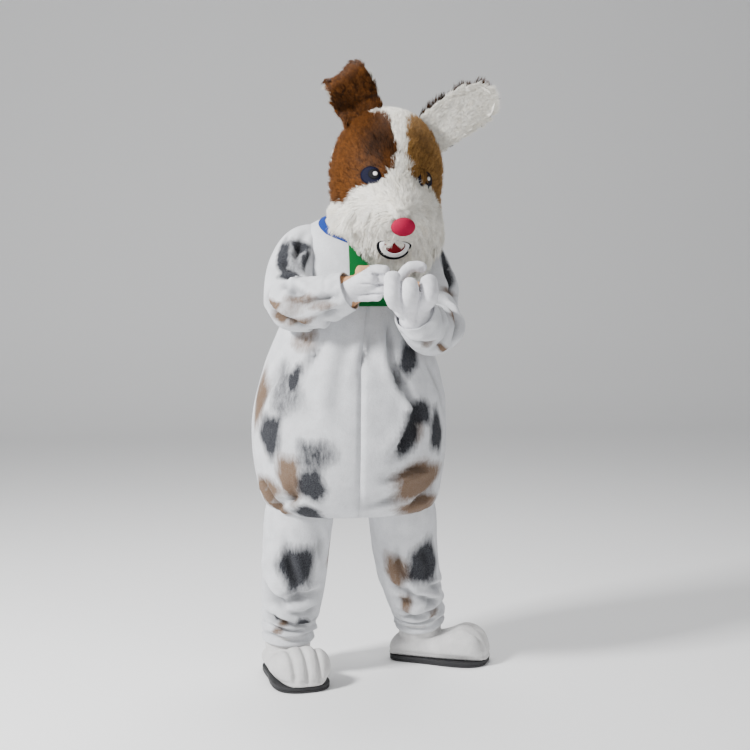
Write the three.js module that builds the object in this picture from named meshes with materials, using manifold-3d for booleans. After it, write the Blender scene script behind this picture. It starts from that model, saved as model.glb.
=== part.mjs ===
// Dog mascot costume: furry head, plush jumpsuit, gloves and boots, hollow as it is when worn.
// Millimetres, +Z up, the costume faces -Y, and left and right are the viewer's.
import * as THREE from 'three';
import Module from 'manifold-3d';

const wasm = await Module();
wasm.setup();

// Driving dimensions
const SEAM = 0.3;              // gap between pieces at a seam
const PLUSH = 5;               // jumpsuit plush, pile and backing
const HEAD_WALL = 18;          // foam shell with its fur
const EAR_LAYER = 9;           // one layer of an ear with its fur
const UNDER_CUT = 5;           // laid-on pieces start this deep before what is under them is cut out
const GLOVE_WALL = 4;
const BOOT_WALL = 7;           // padded plush upper
const SOLE_THICK = 20;
const SHOULDERS = [48, 6, 1450];   // where the wearer carries the costume: the origin
const HEAD_AT = [106, -75, 1580];
const HEAD_TURN = 6;           // degrees, towards +X
const HEAD_TILT = 4;           // degrees, the crown leans towards +X

const BODY_SIDES = 28;         // a multiple of four, so that the seams fall on its corners
const SLEEVE_SIDES = 14;
const LEG_SIDES = 12;
const HEAD_SIDES = 24;
const DIGIT_SIDES = 7;
const LINING_SIDES = 5;       // the hollow of a digit is plainer than its outside
const BOOT_SIDES = 14;
const BOOT_LINING_SIDES = 9;   // the hollow of a boot is plainer than its outside
const APPLIQUE_SIDES = 12;

const WHITE_FUR = { color: 0xd9d5cb, roughness: 0.95 };
const BROWN_FUR = { color: 0x7a431a, roughness: 0.9 };
const TAN_FUR = { color: 0x94683a, roughness: 0.9 };
const WHITE_PLUSH = { color: 0xd6d6d9, roughness: 0.95 };
const BEIGE_PLUSH = { color: 0xcfa98a, roughness: 0.95 };
const PINK_FELT = { color: 0xcc3355, roughness: 0.85 };
const RED_FELT = { color: 0x8f1420, roughness: 0.9 };
const BLACK_FELT = { color: 0x0c0c0e, roughness: 0.9 };
const WHITE_FELT = { color: 0xe8e6e2, roughness: 0.9 };
const NAVY_PLASTIC = { color: 0x10163f, roughness: 0.3 };
const BLUE_CLOTH = { color: 0x2a55b0, roughness: 0.85 };
const GREEN_CLOTH = { color: 0x0b7a34, roughness: 0.85 };
const BLACK_SOLE = { color: 0x141416, roughness: 0.7 };

const rad = THREE.MathUtils.degToRad;
const vec = (x, y, z) => new THREE.Vector3(x, y, z);

// Values between the rows of a table, on a smooth curve; t runs from 0 to 1 over the rows
function between(rows, t) {
  const place = THREE.MathUtils.clamp(t, 0, 1) * (rows.length - 1);
  const i = Math.min(Math.floor(place), rows.length - 2);
  const f = place - i;
  const before = rows[Math.max(i - 1, 0)];
  const after = rows[Math.min(i + 2, rows.length - 1)];
  const out = {};
  for (const key of Object.keys(rows[0])) {
    const a = rows[i][key];
    const b = rows[i + 1][key];
    const slopeA = (b - before[key]) / 2;
    const slopeB = (after[key] - a) / 2;
    const f2 = f * f;
    const f3 = f2 * f;
    out[key] = (2 * f3 - 3 * f2 + 1) * a + (f3 - 2 * f2 + f) * slopeA
      + (3 * f2 - 2 * f3) * b + (f3 - f2) * slopeB;
  }
  return out;
}

// A closed mesh from triangles of points: equal points merge and flat triangles drop out
function geometryFrom(triangles) {
  const index = new Map();
  const positions = [];
  const order = [];
  const numberOf = (p) => {
    const key = [p.x, p.y, p.z].map((value) => Math.round(value * 1000)).join();
    if (!index.has(key)) {
      index.set(key, positions.length / 3);
      positions.push(p.x, p.y, p.z);
    }
    return index.get(key);
  };
  for (const corners of triangles) {
    const [a, b, c] = corners.map(numberOf);
    if (a !== b && b !== c && c !== a) order.push(a, b, c);
  }
  let volume = 0;
  const at = (n) => vec(positions[3 * n], positions[3 * n + 1], positions[3 * n + 2]);
  for (let i = 0; i < order.length; i += 3) {
    volume += at(order[i]).dot(at(order[i + 1]).cross(at(order[i + 2])));
  }
  if (volume < 0) order.reverse();
  const geometry = new THREE.BufferGeometry();
  geometry.setAttribute('position', new THREE.Float32BufferAttribute(positions, 3));
  geometry.setIndex(order);
  return geometry;
}

function quadsOf(grid, around) {
  const triangles = [];
  const columns = grid[0].length;
  for (let i = 0; i + 1 < grid.length; i += 1) {
    for (let j = 0; j < (around ? columns : columns - 1); j += 1) {
      const k = (j + 1) % columns;
      triangles.push([grid[i][j], grid[i][k], grid[i + 1][k]]);
      triangles.push([grid[i][j], grid[i + 1][k], grid[i + 1][j]]);
    }
  }
  return triangles;
}

const turned = (triangles) => triangles.map(([a, b, c]) => [a, c, b]);

// A cloth wall between an outer and an inner grid of points, closed along its edges
function wall(outer, inner, around) {
  const last = outer.length - 1;
  const end = outer[0].length - 1;
  const triangles = [...quadsOf(outer, around), ...turned(quadsOf(inner, around))];
  triangles.push(...turned(quadsOf([outer[0], inner[0]], around)));
  triangles.push(...quadsOf([outer[last], inner[last]], around));
  if (!around) {
    const columnOf = (grid, j) => grid.map((row) => row[j]);
    triangles.push(...quadsOf([columnOf(outer, 0), columnOf(inner, 0)], false));
    triangles.push(...turned(quadsOf([columnOf(outer, end), columnOf(inner, end)], false)));
  }
  return geometryFrom(triangles);
}

// A filled form from rings, with a cap on each end
function filled(rings) {
  const cap = (ring) => ring.slice(2).map((p, j) => [ring[0], p, ring[j + 1]]);
  return geometryFrom([
    ...quadsOf(rings, true),
    ...cap(rings[0]),
    ...turned(cap(rings[rings.length - 1])),
  ]);
}

const middleOf = (ring) => ring.reduce((sum, p) => sum.add(p), vec(0, 0, 0)).divideScalar(ring.length);

// The grid moved outwards along its own normals; a ring that is one point moves away from its neighbour
function moved(grid, distance, around) {
  const columns = grid[0].length;
  const columnAt = (j) => (around ? (j + columns) % columns : THREE.MathUtils.clamp(j, 0, columns - 1));
  return grid.map((row, i) => row.map((p, j) => {
    const above = grid[Math.max(i - 1, 0)];
    const below = grid[Math.min(i + 1, grid.length - 1)];
    const across = row[columnAt(j + 1)].clone().sub(row[columnAt(j - 1)]);
    const along = below[j].clone().sub(above[j]);
    const normal = across.length() < 0.01
      ? p.clone().sub(middleOf(i === 0 ? below : above))
      : along.cross(across);
    return p.clone().addScaledVector(normal.normalize(), distance);
  }));
}

// Solids for joining and cutting
function solid(geometry) {
  return new wasm.Manifold(new wasm.Mesh({
    numProp: 3,
    vertProperties: new Float32Array(geometry.attributes.position.array),
    triVerts: new Uint32Array(geometry.index.array),
  }));
}

function geometryOf(manifold) {
  const cut = manifold.getMesh();
  const geometry = new THREE.BufferGeometry();
  geometry.setAttribute('position', new THREE.BufferAttribute(cut.vertProperties, cut.numProp));
  geometry.setIndex(new THREE.BufferAttribute(cut.triVerts, 1));
  return geometry;
}

// The largest body of a cut, without the crumbs that a cut can leave
function mainBody(manifold) {
  const bodies = manifold.decompose();
  return bodies.reduce((best, body) => (body.volume() > best.volume() ? body : best));
}

// Triangles of a ready geometry, as corners
function trianglesOf(geometry) {
  const p = geometry.attributes.position;
  const count = geometry.index ? geometry.index.count : p.count;
  const corner = (i) => {
    const n = geometry.index ? geometry.index.getX(i) : i;
    return vec(p.getX(n), p.getY(n), p.getZ(n));
  };
  return Array.from({ length: count / 3 }, (_, i) => [corner(3 * i), corner(3 * i + 1), corner(3 * i + 2)]);
}

// An outline with its sides moved outwards by grow
function grown(outline, grow) {
  const middle = [0, 1].map((k) => outline.reduce((sum, point) => sum + point[k] / outline.length, 0));
  return outline.map(([u, v], i) => {
    const before = outline[(i + outline.length - 1) % outline.length];
    const after = outline[(i + 1) % outline.length];
    const edge = new THREE.Vector2(after[0] - before[0], after[1] - before[1]).normalize();
    const out = new THREE.Vector2(edge.y, -edge.x);
    if (out.dot(new THREE.Vector2(u - middle[0], v - middle[1])) < 0) out.negate();
    return [u + out.x * grow, v + out.y * grow];
  });
}

// A bar along Y over an outline in X and Z, from yFrom to yTo
function prism(outline, yFrom, yTo, grow = 0) {
  const shape = new THREE.Shape(grown(outline, grow).map(([x, z]) => new THREE.Vector2(x, z)));
  const bar = new THREE.ExtrudeGeometry(shape, { depth: yTo - yFrom, bevelEnabled: false });
  bar.rotateX(Math.PI / 2).translate(0, yTo, 0);
  return solid(geometryFrom(trianglesOf(bar)));
}

function mesh(name, geometry, look) {
  const piece = new THREE.Mesh(geometry, new THREE.MeshStandardMaterial({ metalness: 0, ...look }));
  piece.name = name;
  return piece;
}

// Jumpsuit body. Each row is a level section: centre, half width, reach to the front and the back
const BODY = [
  { z: 1522, x: 52, y: 8, half: 84, front: 84, back: 80 },
  { z: 1502, x: 50, y: 8, half: 116, front: 100, back: 92 },
  { z: 1478, x: 48, y: 6, half: 168, front: 118, back: 106 },
  { z: 1448, x: 45, y: 4, half: 205, front: 134, back: 120 },
  { z: 1400, x: 42, y: 2, half: 219, front: 152, back: 136 },
  { z: 1320, x: 36, y: 0, half: 218, front: 168, back: 152 },
  { z: 1230, x: 28, y: 0, half: 222, front: 182, back: 168 },
  { z: 1140, x: 14, y: 0, half: 246, front: 212, back: 186 },
  { z: 1040, x: 0, y: 0, half: 274, front: 244, back: 204 },
  { z: 940, x: -5, y: 0, half: 300, front: 264, back: 216 },
  { z: 840, x: -7, y: 0, half: 315, front: 272, back: 222 },
  { z: 740, x: -7, y: 0, half: 313, front: 266, back: 220 },
  { z: 655, x: -6, y: 0, half: 301, front: 246, back: 210 },
  { z: 592, x: -3, y: 0, half: 286, front: 216, back: 192 },
  { z: 556, x: 0, y: 0, half: 258, front: 178, back: 164 },
  { z: 538, x: 0, y: 0, half: 196, front: 128, back: 122 },
  { z: 530, x: 0, y: 0, half: 1.5, front: 1.5, back: 1.5 },
];
const BODY_RINGS = 16;
const BODY_SQUARE = 2.25;      // 2 is an ellipse, more is squarer

// Largest folds of the body: from one turn and height to another, their width and depth
const BODY_FOLDS = [
  { turnA: 27, zA: 1160, turnB: 22, zB: 930, width: 22, depth: -7 },
  { turnA: 44, zA: 1110, turnB: 34, zB: 960, width: 24, depth: -8 },
  { turnA: 62, zA: 880, turnB: 38, zB: 800, width: 26, depth: -7 },
  { turnA: -52, zA: 1100, turnB: -66, zB: 920, width: 28, depth: -6 },
  { turnA: 150, zA: 1120, turnB: 160, zB: 900, width: 26, depth: -8 },
  { turnA: -146, zA: 1080, turnB: -158, zB: 880, width: 28, depth: -7 },
  { turnA: 118, zA: 940, turnB: 140, zB: 800, width: 28, depth: -6 },
];

// How far a point at this turn and height is pressed in by the folds
function foldDepth(folds, turn, z, mmPerDegree) {
  let depth = 0;
  for (const fold of folds) {
    const ax = fold.turnA * mmPerDegree;
    const bx = fold.turnB * mmPerDegree;
    const along = new THREE.Vector2(bx - ax, fold.zB - fold.zA);
    const to = new THREE.Vector2(turn * mmPerDegree - ax, z - fold.zA);
    const share = THREE.MathUtils.clamp(to.dot(along) / along.lengthSq(), 0, 1);
    const away = to.addScaledVector(along, -share).length();
    depth += fold.depth * Math.exp(-((away / fold.width) ** 2)) * Math.sin(Math.PI * (0.15 + 0.7 * share));
  }
  return depth;
}

// How far down the body's rows a height lies, and the section there
const shareAt = (z) => {
  const last = BODY.length - 1;
  let i = 0;
  while (i < last - 1 && BODY[i + 1].z > z) i += 1;
  return (i + (BODY[i].z - z) / (BODY[i].z - BODY[i + 1].z)) / last;
};
const bodyAt = (z) => between(BODY, shareAt(z));

// A point of the body's outside: turn in degrees from the front towards +X, share down the rows
function bodyPoint(turn, share) {
  const row = between(BODY, share);
  const s = Math.sin(rad(turn));
  const c = Math.cos(rad(turn));
  const reach = c > 0 ? row.front : row.back;
  const bend = foldDepth(BODY_FOLDS, turn, row.z, 4.6) * Math.min(row.half / 200, 1);
  return vec(
    row.x + (Math.max(row.half, 0) + bend) * Math.sign(s) * Math.abs(s) ** (2 / BODY_SQUARE),
    row.y - (Math.max(reach, 0) + bend) * Math.sign(c) * Math.abs(c) ** (2 / BODY_SQUARE),
    row.z,
  );
}

function bodyGrid() {
  return Array.from({ length: BODY_RINGS + 1 }, (_, i) => {
    const share = i / BODY_RINGS;
    return Array.from({ length: BODY_SIDES }, (_, j) => bodyPoint((360 * j) / BODY_SIDES - 180, share));
  });
}

const BODY_OUTER = bodyGrid();
const BODY_INNER = moved(BODY_OUTER, -PLUSH, true);
const bodyFilled = solid(filled(moved(BODY_OUTER, SEAM, true)));

// A point pressed out of the body to this clearance, where a sleeve lies against it
function clearOfBody(p, clearance) {
  const row = bodyAt(p.z);
  const dx = p.x - row.x;
  const dy = p.y - row.y;
  const reach = dy < 0 ? row.front : row.back;
  const size = ((Math.abs(dx) / (row.half + clearance)) ** BODY_SQUARE
    + (Math.abs(dy) / (reach + clearance)) ** BODY_SQUARE) ** (1 / BODY_SQUARE);
  return size >= 1 ? p : vec(row.x + dx / size, row.y + dy / size, p.z);
}

// Rings round a path. Each row: centre, half size a along the side direction and b across it
function tubeGrid(rows, rings, sides, firstSide, shape) {
  const side = vec(...firstSide);
  return Array.from({ length: rings + 1 }, (_, i) => {
    const t = i / rings;
    const row = between(rows, t);
    const ahead = between(rows, Math.min(t + 0.01, 1));
    const behind = between(rows, Math.max(t - 0.01, 0));
    const along = vec(ahead.x - behind.x, ahead.y - behind.y, ahead.z - behind.z).normalize();
    side.addScaledVector(along, -side.dot(along)).normalize();
    const up = side.clone().cross(along);
    return Array.from({ length: sides }, (__, j) => {
      const turn = (360 * j) / sides;
      const size = 1 + (shape ? shape(turn, t) : 0);
      return vec(row.x, row.y, row.z)
        .addScaledVector(side, row.a * size * Math.cos(rad(turn)))
        .addScaledVector(up, row.b * size * Math.sin(rad(turn)));
    });
  });
}

const thinner = (rows, less) => rows.map((row) => ({ ...row, a: row.a - less, b: row.b - less }));

// Sleeves: centre line from inside the shoulder to the cuff, and half sizes; a faces forward
const SLEEVES = {
  left: [
    { x: -85, y: 0, z: 1392, a: 70, b: 78 },
    { x: -150, y: -22, z: 1382, a: 76, b: 84 },
    { x: -192, y: -62, z: 1325, a: 76, b: 84 },
    { x: -210, y: -115, z: 1262, a: 80, b: 80 },
    { x: -203, y: -168, z: 1222, a: 86, b: 84 },
    { x: -160, y: -212, z: 1222, a: 82, b: 80 },
    { x: -100, y: -250, z: 1238, a: 74, b: 74 },
    { x: -44, y: -282, z: 1260, a: 60, b: 62 },
  ],
  right: [
    { x: 172, y: 0, z: 1368, a: 70, b: 78 },
    { x: 222, y: -16, z: 1356, a: 74, b: 84 },
    { x: 240, y: -52, z: 1288, a: 74, b: 84 },
    { x: 250, y: -98, z: 1205, a: 76, b: 82 },
    { x: 246, y: -156, z: 1146, a: 80, b: 84 },
    { x: 215, y: -222, z: 1138, a: 80, b: 78 },
    { x: 178, y: -282, z: 1162, a: 74, b: 70 },
    { x: 150, y: -322, z: 1196, a: 66, b: 66 },
  ],
};
const SLEEVE_RINGS = 12;
const SLEEVE_CREASES = [
  { turnA: 140, zA: 52, turnB: 220, zB: 56, width: 5, depth: -0.09 },
  { turnA: 150, zA: 66, turnB: 230, zB: 78, width: 4, depth: -0.06 },
  { turnA: -20, zA: 60, turnB: 60, zB: 74, width: 5, depth: -0.05 },
  { turnA: 90, zA: 80, turnB: 180, zB: 90, width: 4, depth: -0.04 },
];
const FIRST_CLEAR_RING = 4;    // from here on a sleeve lies against the body, not in it

const SLEEVE_SIDE = [0, -1, 0];
const SLEEVE_CLEAR = 2;

// A sleeve's rings, this much thinner; below the armpit they keep this clear of the body
function sleeveTube(side, less) {
  const creased = (turn, t) => foldDepth(SLEEVE_CREASES, turn, 100 * t, 0.25);
  return tubeGrid(thinner(SLEEVES[side], less), SLEEVE_RINGS, SLEEVE_SIDES, SLEEVE_SIDE, creased)
    .map((ring, i) => (i < FIRST_CLEAR_RING ? ring : ring.map((p) => clearOfBody(p, SLEEVE_CLEAR + less))));
}

// Legs: centre line from inside the body to the hem, with the ankle's stacked wrinkles
const LEGS = {
  left: [
    { x: -150, y: 6, z: 600, a: 104, b: 118 },
    { x: -170, y: 6, z: 530, a: 112, b: 122 },
    { x: -180, y: 10, z: 430, a: 109, b: 118 },
    { x: -186, y: 15, z: 340, a: 106, b: 112 },
    { x: -195, y: 22, z: 250, a: 100, b: 104 },
    { x: -203, y: 29, z: 175, a: 88, b: 92 },
    { x: -207, y: 33, z: 114, a: 82, b: 86 },
  ],
  right: [
    { x: 152, y: 14, z: 600, a: 104, b: 118 },
    { x: 172, y: 20, z: 530, a: 112, b: 122 },
    { x: 184, y: 42, z: 430, a: 109, b: 118 },
    { x: 202, y: 72, z: 340, a: 104, b: 112 },
    { x: 226, y: 106, z: 250, a: 98, b: 104 },
    { x: 248, y: 137, z: 180, a: 86, b: 92 },
    { x: 256, y: 150, z: 122, a: 82, b: 88 },
  ],
};
const LEG_RINGS = 10;
const ANKLE_WRINKLES = { from: 0.72, waves: 3, depth: 0.035 };

function legGrid(side, less) {
  return tubeGrid(thinner(LEGS[side], less), LEG_RINGS, LEG_SIDES, [1, 0, 0], (turn, t) => {
    const { from, waves, depth } = ANKLE_WRINKLES;
    if (t < from) return 0;
    const share = (t - from) / (1 - from);
    return depth * Math.sin(2 * Math.PI * waves * share) * (1 + 0.4 * Math.sin(rad(turn)));
  });
}

// Panels of a closed wall between these columns, with half a seam taken off each side
function panelsOf(outer, inner, columns) {
  return columns.map((start, n) => {
    const count = outer[0].length;
    const end = n + 1 < columns.length ? columns[n + 1] : columns[0] + count;
    const slice = (grid) => grid.map((ring) => {
      const points = Array.from({ length: end - start + 1 }, (_, k) => ring[(start + k) % count]);
      const inwards = (p, next) => p.clone().add(next.clone().sub(p).setLength(SEAM / 2));
      const last = points.length - 1;
      const first = inwards(points[0], points[1]);
      return [first, ...points.slice(1, last), inwards(points[last], points[last - 1])];
    });
    return solid(wall(slice(outer), slice(inner), false));
  });
}

// Front and back half of a leg
function legHalves(side) {
  const [first, second] = panelsOf(legGrid(side, 0), legGrid(side, PLUSH), [0, LEG_SIDES / 2]);
  return [first, second].map((half) => mainBody(half.subtract(bodyFilled)));
}

// Head in its own frame: a soft union of ellipsoids gives the outside of the fur
const HEAD_FORMS = [
  { x: 0, y: 28, z: 50, rx: 172, ry: 172, rz: 206 },      // skull
  { x: 0, y: -6, z: -110, rx: 164, ry: 165, rz: 140 },    // cheek ruff
  { x: 0, y: -98, z: -92, rx: 118, ry: 128, rz: 98 },     // muzzle
  { x: 0, y: -92, z: -178, rx: 96, ry: 98, rz: 74 },      // chin
];
const HEAD_BLEND = 7;
const HEAD_RINGS = 15;
const HEAD_CENTRE = vec(0, 0, -20);

function headField(p) {
  let sum = 0;
  for (const form of HEAD_FORMS) {
    const q = Math.hypot((p.x - form.x) / form.rx, (p.y - form.y) / form.ry, (p.z - form.z) / form.rz);
    sum += Math.exp(-HEAD_BLEND * (q - 1));
  }
  return sum - 1;
}

// Distance from a point along a direction to where the field crosses the fur's outside
function reachOf(from, direction, near, far) {
  let low = near;
  let high = far;
  for (let i = 0; i < 40; i += 1) {
    const mid = (low + high) / 2;
    if (headField(from.clone().addScaledVector(direction, mid)) > 0) low = mid;
    else high = mid;
  }
  return low;
}

function headGrid() {
  return Array.from({ length: HEAD_RINGS + 1 }, (_, i) => {
    const down = (Math.PI * i) / HEAD_RINGS;
    return Array.from({ length: HEAD_SIDES }, (_, j) => {
      const turn = (2 * Math.PI * j) / HEAD_SIDES - Math.PI;
      const level = Math.sin(down);
      const direction = vec(level * Math.sin(turn), -level * Math.cos(turn), Math.cos(down));
      return HEAD_CENTRE.clone().addScaledVector(direction, reachOf(HEAD_CENTRE, direction, 0, 420));
    });
  });
}

// The fur's front at x and z of the head's frame, moved out
function headFront(x, z, out) {
  const from = vec(x, 0, z);
  const y = -reachOf(from, vec(0, -1, 0), 0, 420);
  return vec(x, y - out, z);
}

const HEAD_MATRIX = new THREE.Matrix4().makeRotationZ(rad(HEAD_TURN))
  .multiply(new THREE.Matrix4().makeRotationY(rad(HEAD_TILT)))
  .setPosition(...HEAD_AT);

// Outlines of the head's pieces, in X and Z of the head's frame, for the right side
const PATCH = [
  [40, 215], [25, 172], [16, 120], [17, 70], [26, 30], [62, 6], [105, -22], [138, -66],
  [200, -30], [230, 60], [215, 175], [150, 214], [90, 224],
];
const MUZZLE_TOP = [
  [-230, -36], [-138, -74], [-105, -28], [-62, 0], [-22, 24], [22, 24], [62, 0], [105, -28], [138, -74],
  [230, -36], [230, -160], [120, -196], [70, -178], [-70, -178], [-120, -196], [-230, -160],
];
const mirroredX = (outline) => outline.map(([x, z]) => [-x, z]).reverse();
const PATCH_BACK = 40;         // the patches end this far behind the head's centre
const EAR_SEAM = 40;           // the back halves start here

function headPieces(trim) {
  const outer = headGrid();
  const inner = moved(outer, -HEAD_WALL, true);
  const shell = solid(filled(outer)).subtract(solid(filled(inner))).subtract(trim);
  const patch = (side, grow) => {
    const outline = side === 'left' ? mirroredX(PATCH) : PATCH;
    return prism(outline, -400, PATCH_BACK + grow, grow);
  };
  const muzzle = (grow) => prism(MUZZLE_TOP, -400, PATCH_BACK + grow, grow);
  const square = (x0, x1, z0, z1) => [[x0, z0], [x1, z0], [x1, z1], [x0, z1]];
  const half = SEAM / 2;
  const front = prism(square(-300, 300, -400, 400), -400, EAR_SEAM - half, 0);
  const low = prism(square(-300, 300, -400, -100), -400, EAR_SEAM - half, 0);
  const patches = patch('left', half).add(patch('right', half));
  const crown = shell.intersect(front).subtract(patches).subtract(muzzle(half)).subtract(low);
  const chin = shell.intersect(low).subtract(muzzle(half));
  const back = (x0, x1) => shell.intersect(prism(square(x0, x1, -400, 400), EAR_SEAM + half, 400, 0));
  return {
    head_crown: mainBody(crown),
    head_patch_left: mainBody(shell.intersect(patch('left', -half))),
    head_patch_right: mainBody(shell.intersect(patch('right', -half))),
    head_muzzle: mainBody(shell.intersect(muzzle(-half)).subtract(patches)),
    head_chin: mainBody(chin),
    head_back_left: mainBody(back(-300, -half)),
    head_back_right: mainBody(back(half, 300)),
  };
}

// Ears: rows from inside the head to the tip, centre, half width and the direction across
const EARS = {
  left: [
    { x: -78, y: 22, z: 178, half: 62, ax: 0.85, ay: -0.2, az: 0.5 },
    { x: -92, y: 18, z: 226, half: 66, ax: 0.87, ay: -0.2, az: 0.48 },
    { x: -112, y: 22, z: 262, half: 70, ax: 0.88, ay: -0.22, az: 0.45 },
    { x: -132, y: 4, z: 292, half: 72, ax: 0.86, ay: -0.22, az: 0.47 },
    { x: -152, y: -12, z: 322, half: 66, ax: 0.82, ay: -0.2, az: 0.55 },
    { x: -164, y: 12, z: 340, half: 58, ax: 0.78, ay: -0.2, az: 0.6 },
    { x: -170, y: 44, z: 330, half: 46, ax: 0.78, ay: -0.2, az: 0.6 },
  ],
  right: [
    { x: 100, y: 0, z: 158, half: 60, ax: 0.62, ay: -0.1, az: -0.78 },
    { x: 140, y: -8, z: 192, half: 64, ax: 0.62, ay: -0.12, az: -0.78 },
    { x: 186, y: -22, z: 232, half: 66, ax: 0.6, ay: -0.14, az: -0.8 },
    { x: 230, y: -34, z: 268, half: 68, ax: 0.58, ay: -0.1, az: -0.82 },
    { x: 268, y: -44, z: 292, half: 62, ax: 0.55, ay: -0.08, az: -0.84 },
    { x: 296, y: -52, z: 306, half: 44, ax: 0.52, ay: -0.05, az: -0.86 },
    { x: 312, y: -58, z: 314, half: 20, ax: 0.5, ay: 0, az: -0.87 },
  ],
};
const EAR_ROWS = 8;
const EAR_COLUMNS = 6;
const EAR_CUP = 14;            // how far the edges of an ear curl forwards

// One layer of an ear: from and to are its faces, in front of the middle of the ear
function earLayer(side, from, to) {
  const rows = EARS[side];
  const face = (offset) => Array.from({ length: EAR_ROWS }, (_, i) => {
    const t = i / (EAR_ROWS - 1);
    const row = between(rows, t);
    const ahead = between(rows, Math.min(t + 0.02, 1));
    const behind = between(rows, Math.max(t - 0.02, 0));
    const along = vec(ahead.x - behind.x, ahead.y - behind.y, ahead.z - behind.z).normalize();
    const across = vec(row.ax, row.ay, row.az);
    across.addScaledVector(along, -across.dot(along)).normalize();
    const front = across.clone().cross(along);
    if (front.y > 0 && i < EAR_ROWS / 2) front.negate();
    return Array.from({ length: EAR_COLUMNS }, (__, j) => {
      const q = (2 * j) / (EAR_COLUMNS - 1) - 1;
      const full = Math.sqrt(1 - 0.85 * q * q);
      return vec(row.x, row.y, row.z)
        .addScaledVector(across, q * row.half)
        .addScaledVector(front, EAR_CUP * q * q + offset * full);
    });
  });
  return solid(wall(face(to), face(from), false));
}

// A flat or domed piece on the head. outline gives x and z at a turn, from and to are shares of it,
// and the underside lies this far out of the head
function applique({ x, z, outline, from = 1, to = 0, rings = 3, thick, dome = 0 }, under) {
  const face = (out, swell) => Array.from({ length: rings + 1 }, (_, i) => {
    const share = from + ((to - from) * i) / rings;
    return Array.from({ length: APPLIQUE_SIDES }, (__, j) => {
      const [dx, dz] = outline((360 * j) / APPLIQUE_SIDES);
      return headFront(x + dx * share, z + dz * share, out + swell * Math.sqrt(1 - share * share));
    });
  });
  return solid(wall(face(thick, dome), face(under, 0), true));
}

const round = (radius) => (turn) => [radius * Math.sin(rad(turn)), radius * Math.cos(rad(turn))];
const EYE = { x: 88, z: 28, radius: 28, pupil: 16, glint: 6.5 };
const EYE_FACE = 5;            // the highest of the eye's dome
const PUPIL_FACE = 7.4;        // and of the pupil's
const NOSE = { x: 0, z: -127, half: 38, up: 28, dome: 15 };
const MOUTH = { x: -16, z: -180, half: 53, up: 12, down: 46, edge: 0.86, lip: 0.6 };
const mouthOutline = (turn) => {
  const [s, c] = [Math.sin(rad(turn)), Math.cos(rad(turn))];
  return [MOUTH.half * s, (c > 0 ? MOUTH.up : MOUTH.down) * c];
};
const noseOutline = (turn) => [NOSE.half * Math.sin(rad(turn)), NOSE.up * Math.cos(rad(turn))];

function facePieces(headGrown) {
  const pieces = {};
  const lay = (name, look, shape) => {
    pieces[name] = { look, body: mainBody(applique(shape, -UNDER_CUT).subtract(headGrown)) };
  };
  for (const [side, sign] of [['left', -1], ['right', 1]]) {
    const x = sign * EYE.x;
    lay(`eye_${side}`, NAVY_PLASTIC, { x, z: EYE.z, outline: round(EYE.radius), thick: 2, dome: 3 });
    const pupil = { x: x + 7, z: EYE.z + 4, outline: round(EYE.pupil), thick: 6.5, dome: 0.8, rings: 2 };
    const glint = { x: x + 10, z: EYE.z + 6, outline: round(EYE.glint), thick: 8.6, dome: 0.5, rings: 1 };
    pieces[`pupil_${side}`] = { look: BLACK_FELT, body: applique(pupil, EYE_FACE + SEAM) };
    pieces[`glint_${side}`] = { look: WHITE_FELT, body: applique(glint, PUPIL_FACE + SEAM) };
  }
  const { x, z, dome } = NOSE;
  lay('nose', PINK_FELT, { x, z, outline: noseOutline, thick: 2, dome, rings: 4 });
  const gap = SEAM / MOUTH.half;
  const band = { x: MOUTH.x, z: MOUTH.z, outline: mouthOutline, thick: 2.6 };
  lay('mouth_edge', BLACK_FELT, { ...band, from: 1, to: MOUTH.edge, rings: 1 });
  lay('mouth_lip', WHITE_FELT, { ...band, from: MOUTH.edge - gap, to: MOUTH.lip, rings: 1 });
  lay('mouth_inner', RED_FELT, { ...band, from: MOUTH.lip - gap, to: 0, rings: 2 });
  return pieces;
}

// Collar and bib lie on the chest and shoulders
const COLLAR = { zFront: 1400, rise: 96, half: 13, thick: 3.5 };
const BIB = { xLeft: -28, xRight: 116, zLow: 1212, thick: 2.3, tuck: 6, rows: 6, columns: 6 };
const collarZ = (turn) => COLLAR.zFront + COLLAR.rise * Math.abs(Math.sin(rad(turn))) ** 1.4;

// The collar's band round the neck; grow widens and thickens it
function collarBand(grow) {
  const turns = Array.from({ length: BODY_SIDES }, (_, j) => (360 * j) / BODY_SIDES - 180);
  const edge = (turn, length) => {
    const step = Math.sign(length) * 0.0008;
    let share = shareAt(Math.abs(turn) > 90 ? COLLAR.zFront + COLLAR.rise : collarZ(turn));
    const start = bodyPoint(turn, share);
    while (bodyPoint(turn, share).distanceTo(start) < Math.abs(length)) share += step;
    return bodyPoint(turn, share);
  };
  const reach = COLLAR.half + grow;
  const band = [-reach, reach].map((length) => turns.map((turn) => edge(turn, length)));
  return solid(wall(moved(band, COLLAR.thick + grow, true), moved(band, -UNDER_CUT, true), true));
}

const bodyFront = (x, z) => {
  const row = bodyAt(z);
  const share = Math.abs((x - row.x) / row.half) ** BODY_SQUARE;
  return vec(x, row.y - row.front * (1 - share) ** (1 / BODY_SQUARE), z);
};

function bibSolid(thick, grow) {
  const zTop = COLLAR.zFront + BIB.tuck;
  const zLow = BIB.zLow - grow;
  const width = BIB.xRight - BIB.xLeft + 2 * grow;
  const grid = Array.from({ length: BIB.rows }, (_, i) => {
    const z = zTop + ((zLow - zTop) * i) / (BIB.rows - 1);
    return Array.from({ length: BIB.columns }, (__, j) => (
      bodyFront(BIB.xLeft - grow + (width * j) / (BIB.columns - 1), z)));
  });
  return solid(wall(moved(grid, thick, false), moved(grid, -UNDER_CUT, false), false)).subtract(bodyFilled);
}

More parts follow.
